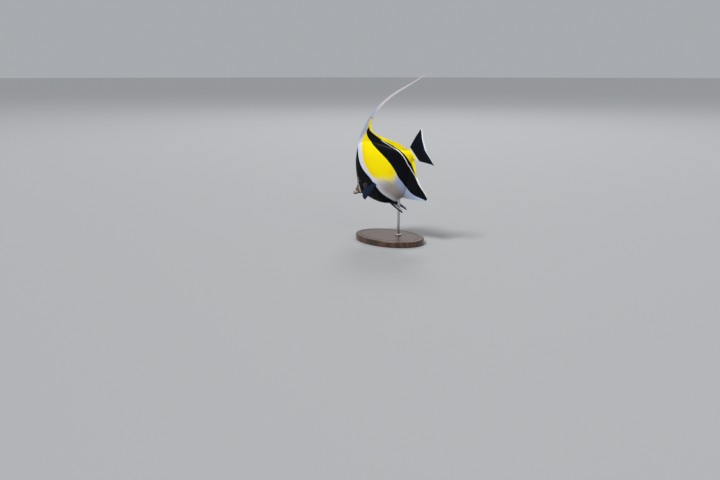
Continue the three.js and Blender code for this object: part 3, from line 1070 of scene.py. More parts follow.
EYE = Eye()
NOSTRILS = ((0.19, 0.048, 0.95), (0.176, 0.036, 0.75))  # x and z in shares, radius in mm
LIP_X, LIP_HEIGHT, LIP_WIDTH = curves(  # from inside the mouth to the snout
    (0, 0.036, 0.0003, 0.002),
    (0.12, 0.03, 0.001, 0.0085),
    (0.25, 0.016, 0.0014, 0.0115),
    (0.38, 0.004, 0.0016, 0.013),
    (0.47, -0.0025, 0.0024, 0.0142),
    (0.55, -0.0065, 0.0062, 0.0158),
    (0.63, -0.008, 0.0118, 0.0173),
    (0.71, -0.0066, 0.0177, 0.0185),
    (0.79, -0.0022, 0.0228, 0.0194),
    (0.86, 0.0035, 0.025, 0.0196),
    (0.92, 0.0085, 0.0246, 0.0187),
    (0.96, 0.012, 0.0238, 0.0178),
    (1, 0.0165, 0.0262, 0.0182),
)


@dataclass
class Skin:
    """One closed skin from inside the lips to the root of the tail fin."""

    rings: int = 330
    around: int = 256
    mouth_share: float = 0.085
    mouth_end: float = 0.0165
    tail_end: float = 1.0
    gill_edge: Curve = Curve((
        (-0.25, 0.27), (-0.226, 0.292), (-0.2, 0.33), (-0.13, 0.358), (-0.04, 0.366),
        (0.05, 0.36), (0.088, 0.338), (0.1, 0.32),
    ))
    cheek_edge: Curve = Curve(
        ((-0.2, 0.25), (-0.15, 0.285), (-0.08, 0.306), (0.0, 0.318), (0.07, 0.318), (0.1, 0.31))
    )
    lateral_line: Curve = Curve((
        (0.34, 0.1), (0.38, 0.17), (0.43, 0.225), (0.5, 0.258), (0.58, 0.256), (0.68, 0.215),
        (0.78, 0.15), (0.88, 0.075), (0.95, 0.035), (1.0, 0.028),
    ))
    shares: Array = field(init=False, repr=False)
    places: Array = field(init=False, repr=False)
    normals: Array = field(init=False, repr=False)

    def __post_init__(self) -> None:
        """Works out the whole surface as a grid of rings."""
        t = np.linspace(0, 1, self.rings + 1)[:, None]
        turn = np.linspace(0, 1, self.around, endpoint=False)[None, :]
        plain = self._surface(t, turn)
        metres = POSE.to_frame(plain)
        normals = self._normals(metres)
        self.places = metres + normals * self._relief(plain)[..., None]
        self.normals = self._normals(self.places)
        self.shares = plain

    def station(self, t: Array) -> Array:
        """Returns x, in shares, of the body ring at t, a share of the way past the lips."""
        along = np.clip((t - self.mouth_share) / (1 - self.mouth_share), 0, 1)
        return self.mouth_end + (self.tail_end - self.mouth_end) * along * (0.55 + 0.45 * along)

    def _surface(self, t: Array, turn: Array) -> Array:
        """Works out the plain surface.

        Args:
            t: The ring, from 0 inside the lips to 1 at the tail.
            turn: How far round the ring, 0 to 1.

        Returns:
            The surface, in shares.
        """
        angle = 2 * math.pi * turn - 0.1 * math.pi * np.sin(4 * math.pi * turn) + 0 * t
        lips = np.clip(t / self.mouth_share, 0, 1)
        on_body = t > self.mouth_share
        x = np.where(on_body, self.station(t), LIP_X(lips))
        level = FORM.waist(np.maximum(x, 0))
        cosine, sine = np.cos(angle), np.sin(angle)
        up = cosine > 0
        lip_reach = LIP_HEIGHT(lips) * np.where(up, 1.0, 1.05)
        body_reach = np.where(up, FORM.back(x) - level, level - FORM.belly(x))
        reach = np.where(on_body, body_reach, lip_reach)
        width = np.where(on_body, FORM.half_width(x), LIP_WIDTH(lips))
        closing = np.sqrt(np.clip((1 - t) / 0.012, 0, 1))
        pinch = np.abs(sine) ** FORM.sharpness(x, up)
        y = np.sign(sine) * pinch * width * closing
        z = level + reach * cosine * blend(0.55, 1.0, closing) * np.where(t > 0.9999, 0, 1)
        return np.stack([np.broadcast_to(x, y.shape), y, z], axis=-1)

    @staticmethod
    def _normals(grid: Array) -> Array:
        """Works out the surface's normals.

        Args:
            grid: The surface, as rings of points.

        Returns:
            Unit normals that point outwards.
        """
        along = np.gradient(grid, axis=0)
        round_ring = np.roll(grid, -1, axis=1) - np.roll(grid, 1, axis=1)
        return unit(np.cross(along, round_ring))

    def _relief(self, shares: Array) -> Array:
        """Works out how far the skin stands out of the plain form.

        Args:
            shares: The plain form, in shares.

        Returns:
            The height of the relief, in metres.
        """
        x, y, z = np.moveaxis(shares, -1, 0)
        length = POSE.length
        out = np.zeros_like(x)
        side = ramp(np.abs(y), 0.01, 0.03)

        # The eye's lid, the ring round it and the socket
        from_eye = np.hypot(x - EYE.x, z - EYE.z) * length
        ball = EYE.radius * length
        out += side * (0.5 * MM * hump(from_eye - ball - 0.95 * MM, 0.6 * MM))
        out += side * (0.25 * MM * hump(from_eye - ball - 2.8 * MM, 1.0 * MM))
        out -= side * 1.7 * MM * ramp(from_eye, ball + 0.25 * MM, ball - 0.5 * MM)

        # The nostrils, each a pit with a rim
        for nx, nz, radius in NOSTRILS:
            away = np.hypot(x - nx, z - nz) * length
            out += side * 0.32 * MM * hump(away - radius * MM, 0.35 * MM)
            out -= side * 0.75 * MM * ramp(away, radius * 0.8 * MM, radius * 0.3 * MM)

        # The gill cover's edge, raised over the slit behind it
        behind = (x - self.gill_edge(z)) * length
        window = side * ramp(z, -0.235, -0.2) * ramp(z, 0.1, 0.075)
        flap = 0.5 * MM * ramp(behind, -9 * MM, -1 * MM) * (behind < 0)
        groove = -0.55 * MM * (behind >= 0) * ramp(behind, 2.4 * MM, 0.0)
        out += window * (flap + groove)

        # The cheek plate's edge
        past_cheek = (x - self.cheek_edge(z)) * length
        cheek_window = side * ramp(z, -0.2, -0.14) * ramp(z, 0.1, 0.05)
        out += cheek_window * 0.22 * MM * ramp(past_cheek, -4 * MM, 0.0) * (past_cheek < 0)
        out -= cheek_window * 0.16 * MM * (past_cheek >= 0) * ramp(past_cheek, 1.5 * MM, 0.0)

        # The lateral line, beaded where its pores are
        from_line = (z - self.lateral_line(x)) * length
        pore_gap = 1.1 * MM
        beads = 0.75 + 0.25 * np.cos(x * length / pore_gap * 2 * math.pi)
        line_window = side * ramp(x, 0.34, 0.37) * ramp(x, 1.0, 0.97)
        out += line_window * 0.16 * MM * beads * hump(from_line, 0.5 * MM)

        # The bases of the rays of the dorsal and anal fins
        below_back = (FORM.back(x) - z) * length
        above_belly = (z - FORM.belly(x)) * length
        back_roots = ramp(x, 0.42, 0.46) * hump(below_back - 4 * MM, 3.5 * MM)
        belly_roots = ramp(x, 0.55, 0.6) * hump(above_belly - 4 * MM, 3.5 * MM)
        ray_gap = 0.0125
        flute = np.cos(2 * math.pi * (x - 0.43) / ray_gap)
        out += 0.07 * MM * flute * ramp(x, 0.95, 0.9) * (back_roots + belly_roots)

        # The shoulder that the pectoral fin springs from
        shoulder = hump(np.hypot(x - 0.4, z + 0.04) * length, 5 * MM)
        out += side * 0.35 * MM * shoulder
        return out

    def sample(self, grid: Array, ring: Array, turn: Array) -> Array:
        """Returns grid's value at a place between its points.

        Args:
            grid: Rows of a value for each ring and each step round it.
            ring: The ring, counted from the mouth.
            turn: How far round the ring, 0 to 1.

        Returns:
            The value blended from the four points around.
        """
        ring = np.clip(ring, 0, self.rings - 1e-6)
        step = np.mod(turn, 1) * self.around
        i, j = ring.astype(int), step.astype(int)
        a, b = (ring - i)[:, None], (step - j)[:, None]
        j, following = j % self.around, (j + 1) % self.around
        near = blend(grid[i, j], grid[i, following], b)
        return blend(near, blend(grid[i + 1, j], grid[i + 1, following], b), a)

    def build(self, finish: Material) -> None:
        """Shapes a sphere into the skin, which stands for every solid of flesh.

        Args:
            finish: The skin's material.
        """
        deselect()
        bpy.ops.mesh.primitive_uv_sphere_add(segments=self.around, ring_count=self.rings, radius=1)
        made = primitive("skin")
        ball = coordinates(made)
        ring = np.rint(np.arccos(np.clip(ball[:, 2], -1, 1)) / math.pi * self.rings).astype(int)
        turn = np.arctan2(ball[:, 1], ball[:, 0]) / (2 * math.pi) * self.around
        step = np.rint(turn).astype(int) % self.around
        set_coordinates(made, self.places[ring, step])
        outward(made)
        smooth(made, 60)
        mark(made, "place", self.shares[ring, step])
        gill_covers = ("gill_cover_left", "gill_cover_right")
        dress(made, finish, Slot.SKIN, "snout", "head", *gill_covers, "trunk", "tail_root")


# Fins


@dataclass
class Fin:
    """A fin's web with its raised, branching rays, as one closed sheet.

    sheet(u, v) gives the middle surface in shares of the length: u runs from the first ray to
    the last and v from the root out.
    """

    name: str
    sheet: Sheet
    rays: int
    rows: int = 44
    steps: int = 8
    root: float = 1.9
    edge: float = 0.3
    lift: float = 0.34
    spine: float = 0.5
    branch: float = 0.45
    scallop: float = 0.012
    flesh: float = 0.0
    mirror: int = 1

    def _ribs(self, u: Array, v: Array) -> Array:
        """Works out the rays, which branch halfway.

        Args:
            u: The place across the fin.
            v: The place from its root out.

        Returns:
            How far towards a ray's crest each place is, 0 to 1.
        """
        beat = np.abs(np.cos(math.pi * u * (self.rays - 1)))
        fine = np.abs(np.cos(2 * math.pi * u * (self.rays - 1)))
        split = ramp(v, self.branch, self.branch + 0.2)
        return blend(beat**5, 0.8 * fine**5, split)

    def build(self, finish: Material, node: str) -> None:
        """Shapes a slab into the fin and dresses it.

        Args:
            finish: The fin's material.
            node: The solid that it stands for.
        """
        made = plate(self.name, (self.rays - 1) * self.steps, self.rows)
        u, v, face = coordinates(made).T
        u, v = np.clip(u, 0, 1), np.clip(v, 0, 1)
        face = np.where(face > 0.5, 1.0, -1.0)
        rib = self._ribs(u, v)
        reach = v * (1 - self.scallop * (1 - rib) * ramp(v, 0.7, 1.0))
        small = 1e-3
        across = self._place(u + small, reach) - self._place(u - small, reach)
        outwards = self._place(u, reach + small) - self._place(u, reach - small)
        normal = unit(np.cross(across, outwards))

        # Half the thickness in mm: the web, its rays, the front spine and the fleshy root
        half = blend(self.root, self.edge, np.clip(v * 1.25, 0, 1) ** 0.6) / 2
        half = half + self.lift * rib * (1 - 0.75 * v) / 2
        half = half + self.spine * hump(u, 0.6 / self.rays) * (1 - 0.8 * v) / 2
        half = half + self.flesh * ramp(v, 0.3, 0.02) ** 2 / 2
        thin_rim = np.minimum(ramp(u, -0.001, 0.01) + 0.35, ramp(u, 1.001, 0.985) + 0.35)
        half = half * np.clip(thin_rim, 0.35, 1) * (1 - 0.5 * ramp(v, 0.96, 1.0))

        middle = self._place(u, reach)
        set_coordinates(made, middle + normal * (face * half * MM)[:, None])
        outward(made)
        smooth(made, 70)
        mark(made, "place", self._shares(u, reach))
        from_root = np.linalg.norm(middle - self._place(u, 0 * u), axis=1)
        to_rim = np.linalg.norm(self._place(u, 0 * u + 1) - middle, axis=1)
        mark(made, "web", np.stack([u * (self.rays - 1), from_root, to_rim], axis=1))
        unwrap(made, "Sheet", np.stack([u, v], axis=1))
        dress(made, finish, Slot.FIN, node)

    def _shares(self, u: Array, v: Array) -> Array:
        """Returns the middle surface in shares, mirrored where the fin is."""
        return self.sheet(u, v) * np.array([1, self.mirror, 1])

    def _place(self, u: Array, v: Array) -> Array:
        """Returns the middle surface in metres."""
        return POSE.to_frame(self._shares(u, v))


# In shares of the length: how deep the median fins' roots sit, and where their rays start
SINK = 0.0114
FIRST_DORSAL_RAY = 0.4
FIRST_ANAL_RAY = 0.556


def root_swell(v: Array) -> Array:
    """Returns how far a median fin's rays bow forward at v, most near the root."""
    return np.sin(math.pi * np.clip(v, 0, 1) ** 0.6)


DORSAL_MARGIN = curves(  # u, then x and z of the free edge
    (0, 0.79, 0.645),
    (0.08, 0.802, 0.6),
    (0.14, 0.752, 0.577),
    (0.2, 0.712, 0.535),
    (0.28, 0.693, 0.478),
    (0.38, 0.722, 0.418),
    (0.52, 0.782, 0.345),
    (0.68, 0.847, 0.281),
    (0.84, 0.915, 0.2),
    (1, 0.98, 0.088),
)


def dorsal_sheet(u: Array, v: Array) -> Array:
    """Shapes the dorsal fin, swept up into the base of its streamer.

    Args:
        u: From the first ray to the last, 0 to 1.
        v: From the root out, 0 to 1.

    Returns:
        The middle surface.
    """
    start = blend(FIRST_DORSAL_RAY, 0.94, u)
    x, z = (edge(u) for edge in DORSAL_MARGIN)
    swell = 0.039 * np.clip(1 - u, 0, 2) ** 3 * root_swell(v)
    y = 0.006 * v * np.sin(5 * u) + 0.0035 * v * v * np.sin(17 * u)
    z = blend(FORM.back(start) - SINK, z, v) + swell
    return np.stack([blend(start, x, v), y, z], axis=-1)


ANAL_MARGIN = curves(  # u, then x and z of the free edge
    (0, 0.812, -0.512),
    (0.07, 0.848, -0.5),
    (0.14, 0.868, -0.445),
    (0.28, 0.874, -0.362),
    (0.46, 0.884, -0.266),
    (0.66, 0.905, -0.186),
    (0.85, 0.944, -0.108),
    (1, 0.974, -0.033),
)


def anal_sheet(u: Array, v: Array) -> Array:
    """Shapes the anal fin, longest in front and pointing back.

    Args:
        u: From the first ray to the last, 0 to 1.
        v: From the root out, 0 to 1.

    Returns:
        The middle surface.
    """
    start = blend(FIRST_ANAL_RAY, 0.95, u)
    x, z = (edge(u) for edge in ANAL_MARGIN)
    swell = -0.012 * np.clip(1 - u, 0, 2) ** 2 * root_swell(v)
    y = -0.006 * v * np.sin(4 * u) + 0.003 * v * v * np.sin(15 * u)
    z = blend(FORM.belly(start) + SINK, z, v) + swell
    return np.stack([blend(start, x, v), y, z], axis=-1)


def tail_sheet(u: Array, v: Array) -> Array:
    """Shapes the tail fin, hollow behind, with its upper lobe swung to the fish's right.

    Args:
        u: From the first ray to the last, 0 to 1.
        v: From the root out, 0 to 1.

    Returns:
        The middle surface.
    """
    root = blend(0.08, -0.026, u)
    tip_x = 1.18 + 0.043 * np.abs(2 * u - 1) ** 1.5
    tip_z = blend(0.213, -0.226, u)
    z = blend(root, tip_z, np.maximum(v, 1e-6) ** (0.92 - 0.24 * u))
    ripple = 0.003 * v * v * np.sin(19 * u)
    return np.stack([blend(0.984, tip_x, v), 0.4 * z * v * v + ripple, z], axis=-1)


def paired_sheet(
    top: Sequence[float], low: Sequence[float], margin: tuple[Knots, Knots, Knots], bow: float
) -> Sheet:
    """Returns the sheet of a left fin between its root chord and its margin.

    Args:
        top: The upper end of the root, in shares.
        low: The lower end of the root, in shares.
        margin: The x, y and z of the free edge over u.
        bow: How far the fin bulges outwards.

    Returns:
        The function of u and v that Fin takes.
    """
    edges = [Curve(knots) for knots in margin]

    def sheet(u: Array, v: Array) -> Array:
        """Shapes the fin as the other sheets do.

        Args:
            u: From the first ray to the last, 0 to 1.
            v: From the root out, 0 to 1.

        Returns:
            The middle surface.
        """
        root = [blend(a, b, u) for a, b in zip(top, low)]
        x, y, z = [blend(start, edge(u), v) for start, edge in zip(root, edges)]
        return np.stack([x, y + bow * np.sin(math.pi * np.clip(v, 0, 1)), z], axis=-1)

    return sheet


PECTORAL = paired_sheet(
    (0.395, 0.07, -0.02),
    (0.405, 0.07, -0.062),
    (
        ((0, 0.273), (0.25, 0.225), (0.6, 0.194), (0.85, 0.196), (1, 0.228)),
        ((0, 0.142), (0.5, 0.162), (1, 0.14)),
        ((0, -0.019), (0.25, -0.052), (0.6, -0.106), (0.85, -0.137), (1, -0.128)),
    ),
    0.02,
)
PELVIC = paired_sheet(
    (0.372, 0.014, -0.308),
    (0.436, 0.014, -0.328),
    (((0, 0.485), (1, 0.5)), ((0, 0.052), (1, 0.044)), ((0, -0.505), (1, -0.472))),
    0.008,
)


class Side(Enum):
    """The fish's left and right flanks, as the sign of y."""

    LEFT = -1
    RIGHT = 1

    @property
    def label(self) -> str:
        """The side's name, as the ending of a piece's name."""
        return self.name.lower()


@dataclass
class ScaleCoat:
    """Small overlapping scales on one flank, each sunk at its root and free at its tip."""

    skin: Skin
    side: Side
    pitch: float = 1.04
    first_x: float = 0.034
    rim_points: int = 7
    overlap: float = 1.45
    sunk: float = 0.09
    lifted: float = 0.1
    crown: float = 0.17
    patch: float = 0.003
    seed: int = 7

    def _master(self) -> tuple[Array, Array]:
        """Models one scale of unit size as a low closed cone.

        Returns:
            Its vertices, with x from root to tip, and its triangles.
        """
        deselect()
        bpy.ops.mesh.primitive_cone_add(vertices=self.rim_points, radius1=0.5, radius2=0, depth=1)
        made = primitive("scale")
        bpy.ops.object.mode_set(mode="EDIT")
        bpy.ops.mesh.select_all(action="SELECT")
        bpy.ops.mesh.quads_convert_to_tris()
        bpy.ops.object.mode_set(mode="OBJECT")
        rows = coordinates(made)
        faces = np.array([list(face.vertices) for face in made.data.polygons])
        bpy.data.objects.remove(made)
        apex = rows[:, 2] > 0
        turn = np.arctan2(rows[:, 0], rows[:, 1])
        x = np.where(apex, 0.62, 0.5 + 0.5 * np.cos(turn))
        y = np.where(apex, 0.0, 0.5 * np.sin(turn) * blend(0.75, 1.12, ramp(x, 0, 0.6)))
        z = np.where(apex, self.crown, blend(-self.sunk, self.lifted, x))
        return np.stack([x, y, z], axis=1), faces

    def _roots(self) -> tuple[Array, Array]:
        """Spaces the scales' roots over the flank, row by row.

        Returns:
            The ring and the turn of each root, as Skin.sample takes them.
        """
        skin, draw = self.skin, np.random.default_rng(self.seed + self.side.value)
        offset = 0.0 if self.side is Side.RIGHT else 0.5
        flank = int((offset + 0.25) * skin.around)
        run = run_of(skin.places[:, flank])
        past_lips = run >= 0.01
        first = np.argmax(past_lips & (skin.shares[:, flank, 0] >= self.first_x))
        stops = np.arange(run[first], run[-1] - 0.8 * MM, self.pitch * MM)
        levels = np.interp(stops, run, np.arange(len(run)))
        rings, turns = [], []
        for row, level in enumerate(levels):
            ring = skin.places[int(round(level))]
            half = int(offset * skin.around)
            arc = np.take(ring, np.arange(half, half + skin.around // 2 + 1), axis=0, mode="wrap")
            cover = run_of(arc)
            count = max(int(cover[-1] / (self.pitch * 0.95 * MM)), 3)
            share = (np.arange(count) + 0.5 * (row % 2) + draw.uniform(-0.1, 0.1, count)) / count
            at = np.interp(np.clip(share, 0, 1) * cover[-1], cover, np.arange(len(cover)))
            turns.append((at + half) / skin.around)
            rings.append(level + draw.uniform(-0.05, 0.05, count))
        return np.concatenate(rings), np.concatenate(turns)

    def _bare(self, shares: Array) -> Array:
        """Finds the roots that fall on the eye, the nostrils, the gill slit or a fin's root.

        Args:
            shares: Where the roots are, in shares.

        Returns:
            True where there is to be no scale.
        """
        x, y, z = shares.T
        length = POSE.length / MM
        eye = np.hypot(x - EYE.x, z - EYE.z) * length < EYE.radius * length + 1.7
        bare = eye & (np.abs(y) > 0.01)
        for nx, nz, _ in NOSTRILS:
            bare |= np.hypot(x - nx, z - nz) * length < 1.5
        behind = (x - self.skin.gill_edge(z)) * length
        bare |= (behind > -0.9) & (behind < 1.3) & (z > -0.22) & (z < 0.09)
        bare |= (np.abs(y) * length < 1.0) & (x > 0.39) & (x < 0.95) & (z > 0)
        bare |= (np.abs(y) * length < 1.0) & (x > 0.55) & (x < 0.95) & (z < 0)
        return bare

    def build(self, finish: Material) -> None:
        """Sets a copy of the scale on every root of the flank.

        Args:
            finish: The scales' material.
        """
        scale, faces = self._master()
        ring, turn = self._roots()
        shares = self.skin.sample(self.skin.shares, ring, turn)
        keep = ~self._bare(shares)
        ring, turn, shares = ring[keep], turn[keep], shares[keep]
        root = self.skin.sample(self.skin.places, ring, turn)
        normal = unit(self.skin.sample(self.skin.normals, ring, turn))
        ahead = self.skin.sample(self.skin.places, np.minimum(ring + 1, self.skin.rings), turn)
        back = self.skin.sample(self.skin.places, np.maximum(ring - 1, 0), turn)
        tailward = ahead - back
        tailward = unit(tailward - normal * np.sum(tailward * normal, axis=1, keepdims=True))
        across = np.cross(normal, tailward)
        draw = np.random.default_rng(self.seed)
        twist = draw.normal(0, 0.09, len(ring))[:, None]
        size = draw.uniform(0.92, 1.08, len(ring))[:, None]
        tailward, across = tailward + across * twist, across - tailward * twist
        long = self.pitch * self.overlap * MM * size
        wide = self.pitch * 1.12 * MM * size
        x, y, z = scale.T
        rows = (
            root[:, None]
            + tailward[:, None] * (x[None, :, None] * long[:, None])
            + across[:, None] * (y[None, :, None] * wide[:, None])
            + normal[:, None] * (z[None, :, None] * MM)
        )
        count, points = len(ring), len(scale)
        mesh = bpy.data.meshes.new(f"scales_{self.side.label}")
        copies = faces[None] + (np.arange(count) * points)[:, None, None]
        mesh.from_pydata(rows.reshape(-1, 3), [], copies.reshape(-1, 3))
        made = bpy.data.objects.new(mesh.name, mesh)
        bpy.context.scene.collection.objects.link(made)
        outward(made)
        smooth(made, 35)
        mark(made, "place", POSE.to_shares(rows.reshape(-1, 3)))
        turned = np.mod(turn * 2, 1)[:, None]
        spot = np.stack([shares[:, :1] * 0.96 + 0.02, turned * 0.96 + 0.02], axis=-1)
        spread = (scale[None, :, :2] - np.array([0.5, 0.0])) * self.patch
        unwrap(made, "OFBake", (spot + spread).reshape(-1, 2))
        dress(made, finish, Slot.SKIN)
        log.info("%s: %d scales", made.name, count)


@dataclass(frozen=True)
class Eyes:
    """Both eyeballs, each a flattened ball with a raised pupil and a fine ring groove."""

    segments: int = 96
    rings: int = 64

    def build(self, side: Side, finish: Material) -> None:
        """Shapes a sphere into one eyeball, which stands for the solid eye.

        Args:
            side: Which eye.
            finish: The eye's material.
        """
        deselect()
        bpy.ops.mesh.primitive_uv_sphere_add(segments=self.segments, ring_count=self.rings, radius=1)
        made = primitive(f"eyeball_{side.label}")
        x, y, z = coordinates(made).T
        outer = z > 0
        out = np.hypot(x, y)
        bulge = 1 + outer * (0.035 * ramp(out, 0.5, 0.3) - 0.02 * hump(out - 0.76, 0.04))
        depth = side.value * z * EYE.depth * bulge
        local = np.stack([x * EYE.radius, depth, y * EYE.radius], axis=1)
        centre = np.array([EYE.x, side.value * EYE.side, EYE.z])
        set_coordinates(made, POSE.to_frame(local + centre))
        outward(made)
        smooth(made, 80)
        angle = np.arctan2(y, x)
        beyond_rings = 1.2
        shown = np.where(outer, out, beyond_rings)
        mark(made, "rings", np.stack([shown, np.sin(angle), np.cos(angle)], axis=1))
        dress(made, finish, Slot.EYE, f"eye_{side.label}")


@dataclass(frozen=True)
class Spine:
    """One bony spine, given in the fish's frame.

    foot is in shares of the length, lean is its direction, and long and radius are millimetres.
    """

    name: str
    foot: Point
    lean: Point
    long: float
    radius: float
    curl: float = 0.0

    def build(self, finish: Material, slot: Slot) -> None:
        """Shapes a sphere into the spine, rounded at its tip and ridged along its length.

        Args:
            finish: The spine's material.
            slot: Its slot in the record.
        """
        deselect()
        bpy.ops.mesh.primitive_uv_sphere_add(segments=24, ring_count=28, radius=1)
        made = primitive(self.name)
        x, y, z = coordinates(made).T
        up = (z + 1) / 2
        turn = np.arctan2(y, x)
        ridge = 1 + 0.06 * np.cos(6 * turn)
        girth = self.radius * np.sqrt(np.clip(1 - up, 0, 1)) * (1 - 0.45 * up) * ridge
        girth = girth * np.sqrt(np.clip(up / 0.04, 0, 1))
        local = np.stack([girth * np.cos(turn), girth * np.sin(turn), up * self.long], axis=1)
        local[:, 0] -= self.curl * up * up
        spin = Vector((0, 0, 1)).rotation_difference(Vector(self.lean).normalized())
        local = local @ np.array(spin.to_matrix()).T
        set_coordinates(made, POSE.to_frame(local * MM / POSE.length + np.array(self.foot)))
        outward(made)
        smooth(made, 60)
        mark(made, "web", np.stack([up, up, up], axis=1))
        dress(made, finish, slot)


def front_spines(name: str, x: float, profile: Curve, rise: float, sign: int) -> list[Spine]:
    """Returns the two short spines in front of a median fin, as the solids have them.

    Args:
        name: The start of their names.
        x: Where the fin's first ray leaves the body, in shares of the length.
        profile: The back or the belly.
        rise: How steeply the first ray rises, in degrees.
        sign: 1 for the back and -1 for the belly.

    Returns:
        The spines, the one next to the fin first.
    """
    sizes = ((0.9, 13.0, 0.95, 8.0), (1.9, 8.0, 0.85, 12.0))  # mm, and degrees for the tilt
    sunk = 2.2 * MM
    spines = []
    for number, (ahead, long, radius, tilt) in enumerate(sizes, 1):
        angle = math.radians(rise + tilt)
        foot_z = float(profile(x)) - sign * sunk / POSE.length
        foot = (x - ahead * MM / POSE.length, 0.0, foot_z)
        lean = (math.cos(angle), 0.0, sign * math.sin(angle))
        spines.append(Spine(f"{name}_{number}", foot, lean, long, radius, -0.4 * sign))
    return spines


STREAMER_FRONT, STREAMER_WIDTH = curves(  # x, then the front edge's z and the width
    (0.76, 0.633, 0.046),
    (0.79, 0.645, 0.044),
    (0.92, 0.672, 0.03),
    (1.043, 0.689, 0.025),
    (1.166, 0.696, 0.023),
    (1.333, 0.685, 0.0165),
    (1.483, 0.671, 0.012),
    (1.64, 0.662, 0.006),
)


@dataclass
class Streamer:
    """The long trailing filament: a stiff spine in front and a thin web behind it."""

    start: float = 0.782
    end: float = 1.64
    lean: float = 0.32
    spine: Curve = Curve(((0, 0.5), (0.5, 0.4), (1, 0.22)))
    web: Curve = Curve(((0, 0.22), (0.5, 0.16), (1, 0.12)))

    def _place(self, along: Array, across: Array) -> Array:
        """Places the filament's middle surface.

        Args:
            along: From its root to its tip, 0 to 1.
            across: From front to back, 0 to 1.

        Returns:
            The surface, in shares.
        """
        x = blend(self.start, self.end, along)
        behind = across * STREAMER_WIDTH(x)
        sway = 0.01 * np.sin((x - 0.79) * 4.5)
        return np.stack([x + self.lean * behind, sway, STREAMER_FRONT(x) - behind], axis=-1)

    def build(self, finish: Material) -> None:
        """Shapes a slab into the filament, which stands for the solid lengths of streamer.

        Args:
            finish: The filament's material.
        """
        made = plate("streamer", 220, 14)
        along, across, face = coordinates(made).T
        face = np.where(face > 0.5, 1.0, -1.0)
        across = np.clip(across, 0, 1) ** 1.4
        middle = POSE.to_frame(self._place(along, across))
        ahead = POSE.to_frame(self._place(along + 1e-3, across)) - middle
        down = POSE.to_frame(self._place(along, across + 1e-2)) - middle
        normal = unit(np.cross(ahead, down))
        bead = np.sqrt(np.clip(1 - ((across - 0.13) / 0.16) ** 2, 0, 1)) * self.spine(along)
        sheet = self.web(along) * (1 - 0.6 * across)
        half = np.maximum(bead, sheet * ramp(across, -0.02, 0.04))
        half = half * (1 - 0.5 * ramp(along, 0.985, 1.0))
        set_coordinates(made, middle + normal * (face * np.maximum(half, 0.05) * MM)[:, None])
        outward(made)
        smooth(made, 70)
        mark(made, "place", self._place(along, across))
        mark(made, "web", np.stack([across, along, along], axis=1))
        lengths = [f"dorsal_streamer_{k}" for k in (1, 2, 3)]
        dress(made, finish, Slot.STREAMER, *lengths)


@dataclass
class Stand:
    """The oval wooden base and the steel rod with its collar."""

    long: float = 0.124
    wide: float = 0.088
    high: float = 0.010
    chamfer: float = 0.0016
    border: float = 0.006
    groove: float = 0.0007
    rod_radius: float = 0.0022
    collar_radius: float = 0.005
    collar_high: float = 0.0024
    into_belly: float = 0.0024

    def build_base(self, finish: Material) -> None:
        """Turns a disc into the oval base with eased edges and a scored border line.

        Args:
            finish: The wood.
        """
        deselect()
        bpy.ops.mesh.primitive_cylinder_add(
            vertices=128, radius=0.5, depth=self.high, location=(0, 0, self.high / 2)
        )
        made = primitive("base")
        bpy.ops.object.transform_apply(location=True)
        bpy.ops.object.mode_set(mode="EDIT")
        bpy.ops.mesh.select_all(action="SELECT")
        bpy.ops.transform.resize(value=(self.long, self.wide, 1), center_override=(0, 0, 0))
        bpy.ops.mesh.select_all(action="DESELECT")
        bpy.ops.object.mode_set(mode="OBJECT")
        self._pick_rims(made)
        bpy.ops.object.mode_set(mode="EDIT")
        bpy.ops.mesh.bevel(offset=self.chamfer, segments=5, affect="EDGES")
        bpy.ops.mesh.select_mode(type="FACE")
        bpy.ops.mesh.select_all(action="DESELECT")
        bpy.ops.object.mode_set(mode="OBJECT")
        top = max(made.data.polygons, key=lambda face: face.area * (face.normal.z > 0.9)).index
        made.data.polygons[top].select = True
        bpy.ops.object.mode_set(mode="EDIT")
        bpy.ops.mesh.inset(thickness=self.border)
        for depth in (-0.7 * self.groove, 0.7 * self.groove):
            bpy.ops.mesh.inset(thickness=self.groove, depth=depth)
        bpy.ops.object.mode_set(mode="OBJECT")
        smooth(made, 25)
        dress(made, finish, Slot.BASE, "stand_base")

    @staticmethod
    def _pick_rims(made: Piece) -> None:
        """Selects the edges that run round the top and the bottom of a turned piece.

        Args:
            made: The piece.
        """
        mesh = made.data
        for vertex in mesh.vertices:
            vertex.select = False
        for edge in mesh.edges:
            a, b = (mesh.vertices[i].co for i in edge.vertices)
            edge.select = abs(a.z - b.z) < 1e-6
        bpy.context.tool_settings.mesh_select_mode = (False, True, False)

    def build_rod(self, finish: Material) -> None:
        """Turns a rod, set in a collar on the base and in the belly above.

        Args:
            finish: The steel.
        """
        foot_x, foot_y, top = POSE.rod_top
        long = top + self.into_belly - self.high
        turned = (
            ("rod", 48, self.rod_radius, long, 0.3 * MM, ("stand_rod",)),
            ("collar", 64, self.collar_radius, self.collar_high, 0.6 * MM, ()),
        )
        for name, sides, radius, depth, bevel, nodes in turned:
            deselect()
            middle = (foot_x, foot_y, self.high + depth / 2)
            bpy.ops.mesh.primitive_cylinder_add(
                vertices=sides, radius=radius, depth=depth, location=middle
            )
            made = primitive(name)
            bpy.ops.object.transform_apply(location=True)
            self._pick_rims(made)
            bpy.ops.object.mode_set(mode="EDIT")
            bpy.ops.mesh.bevel(offset=bevel, segments=4, affect="EDGES")
            bpy.ops.object.mode_set(mode="OBJECT")
            smooth(made, 30)
            dress(made, finish, Slot.ROD, *nodes)


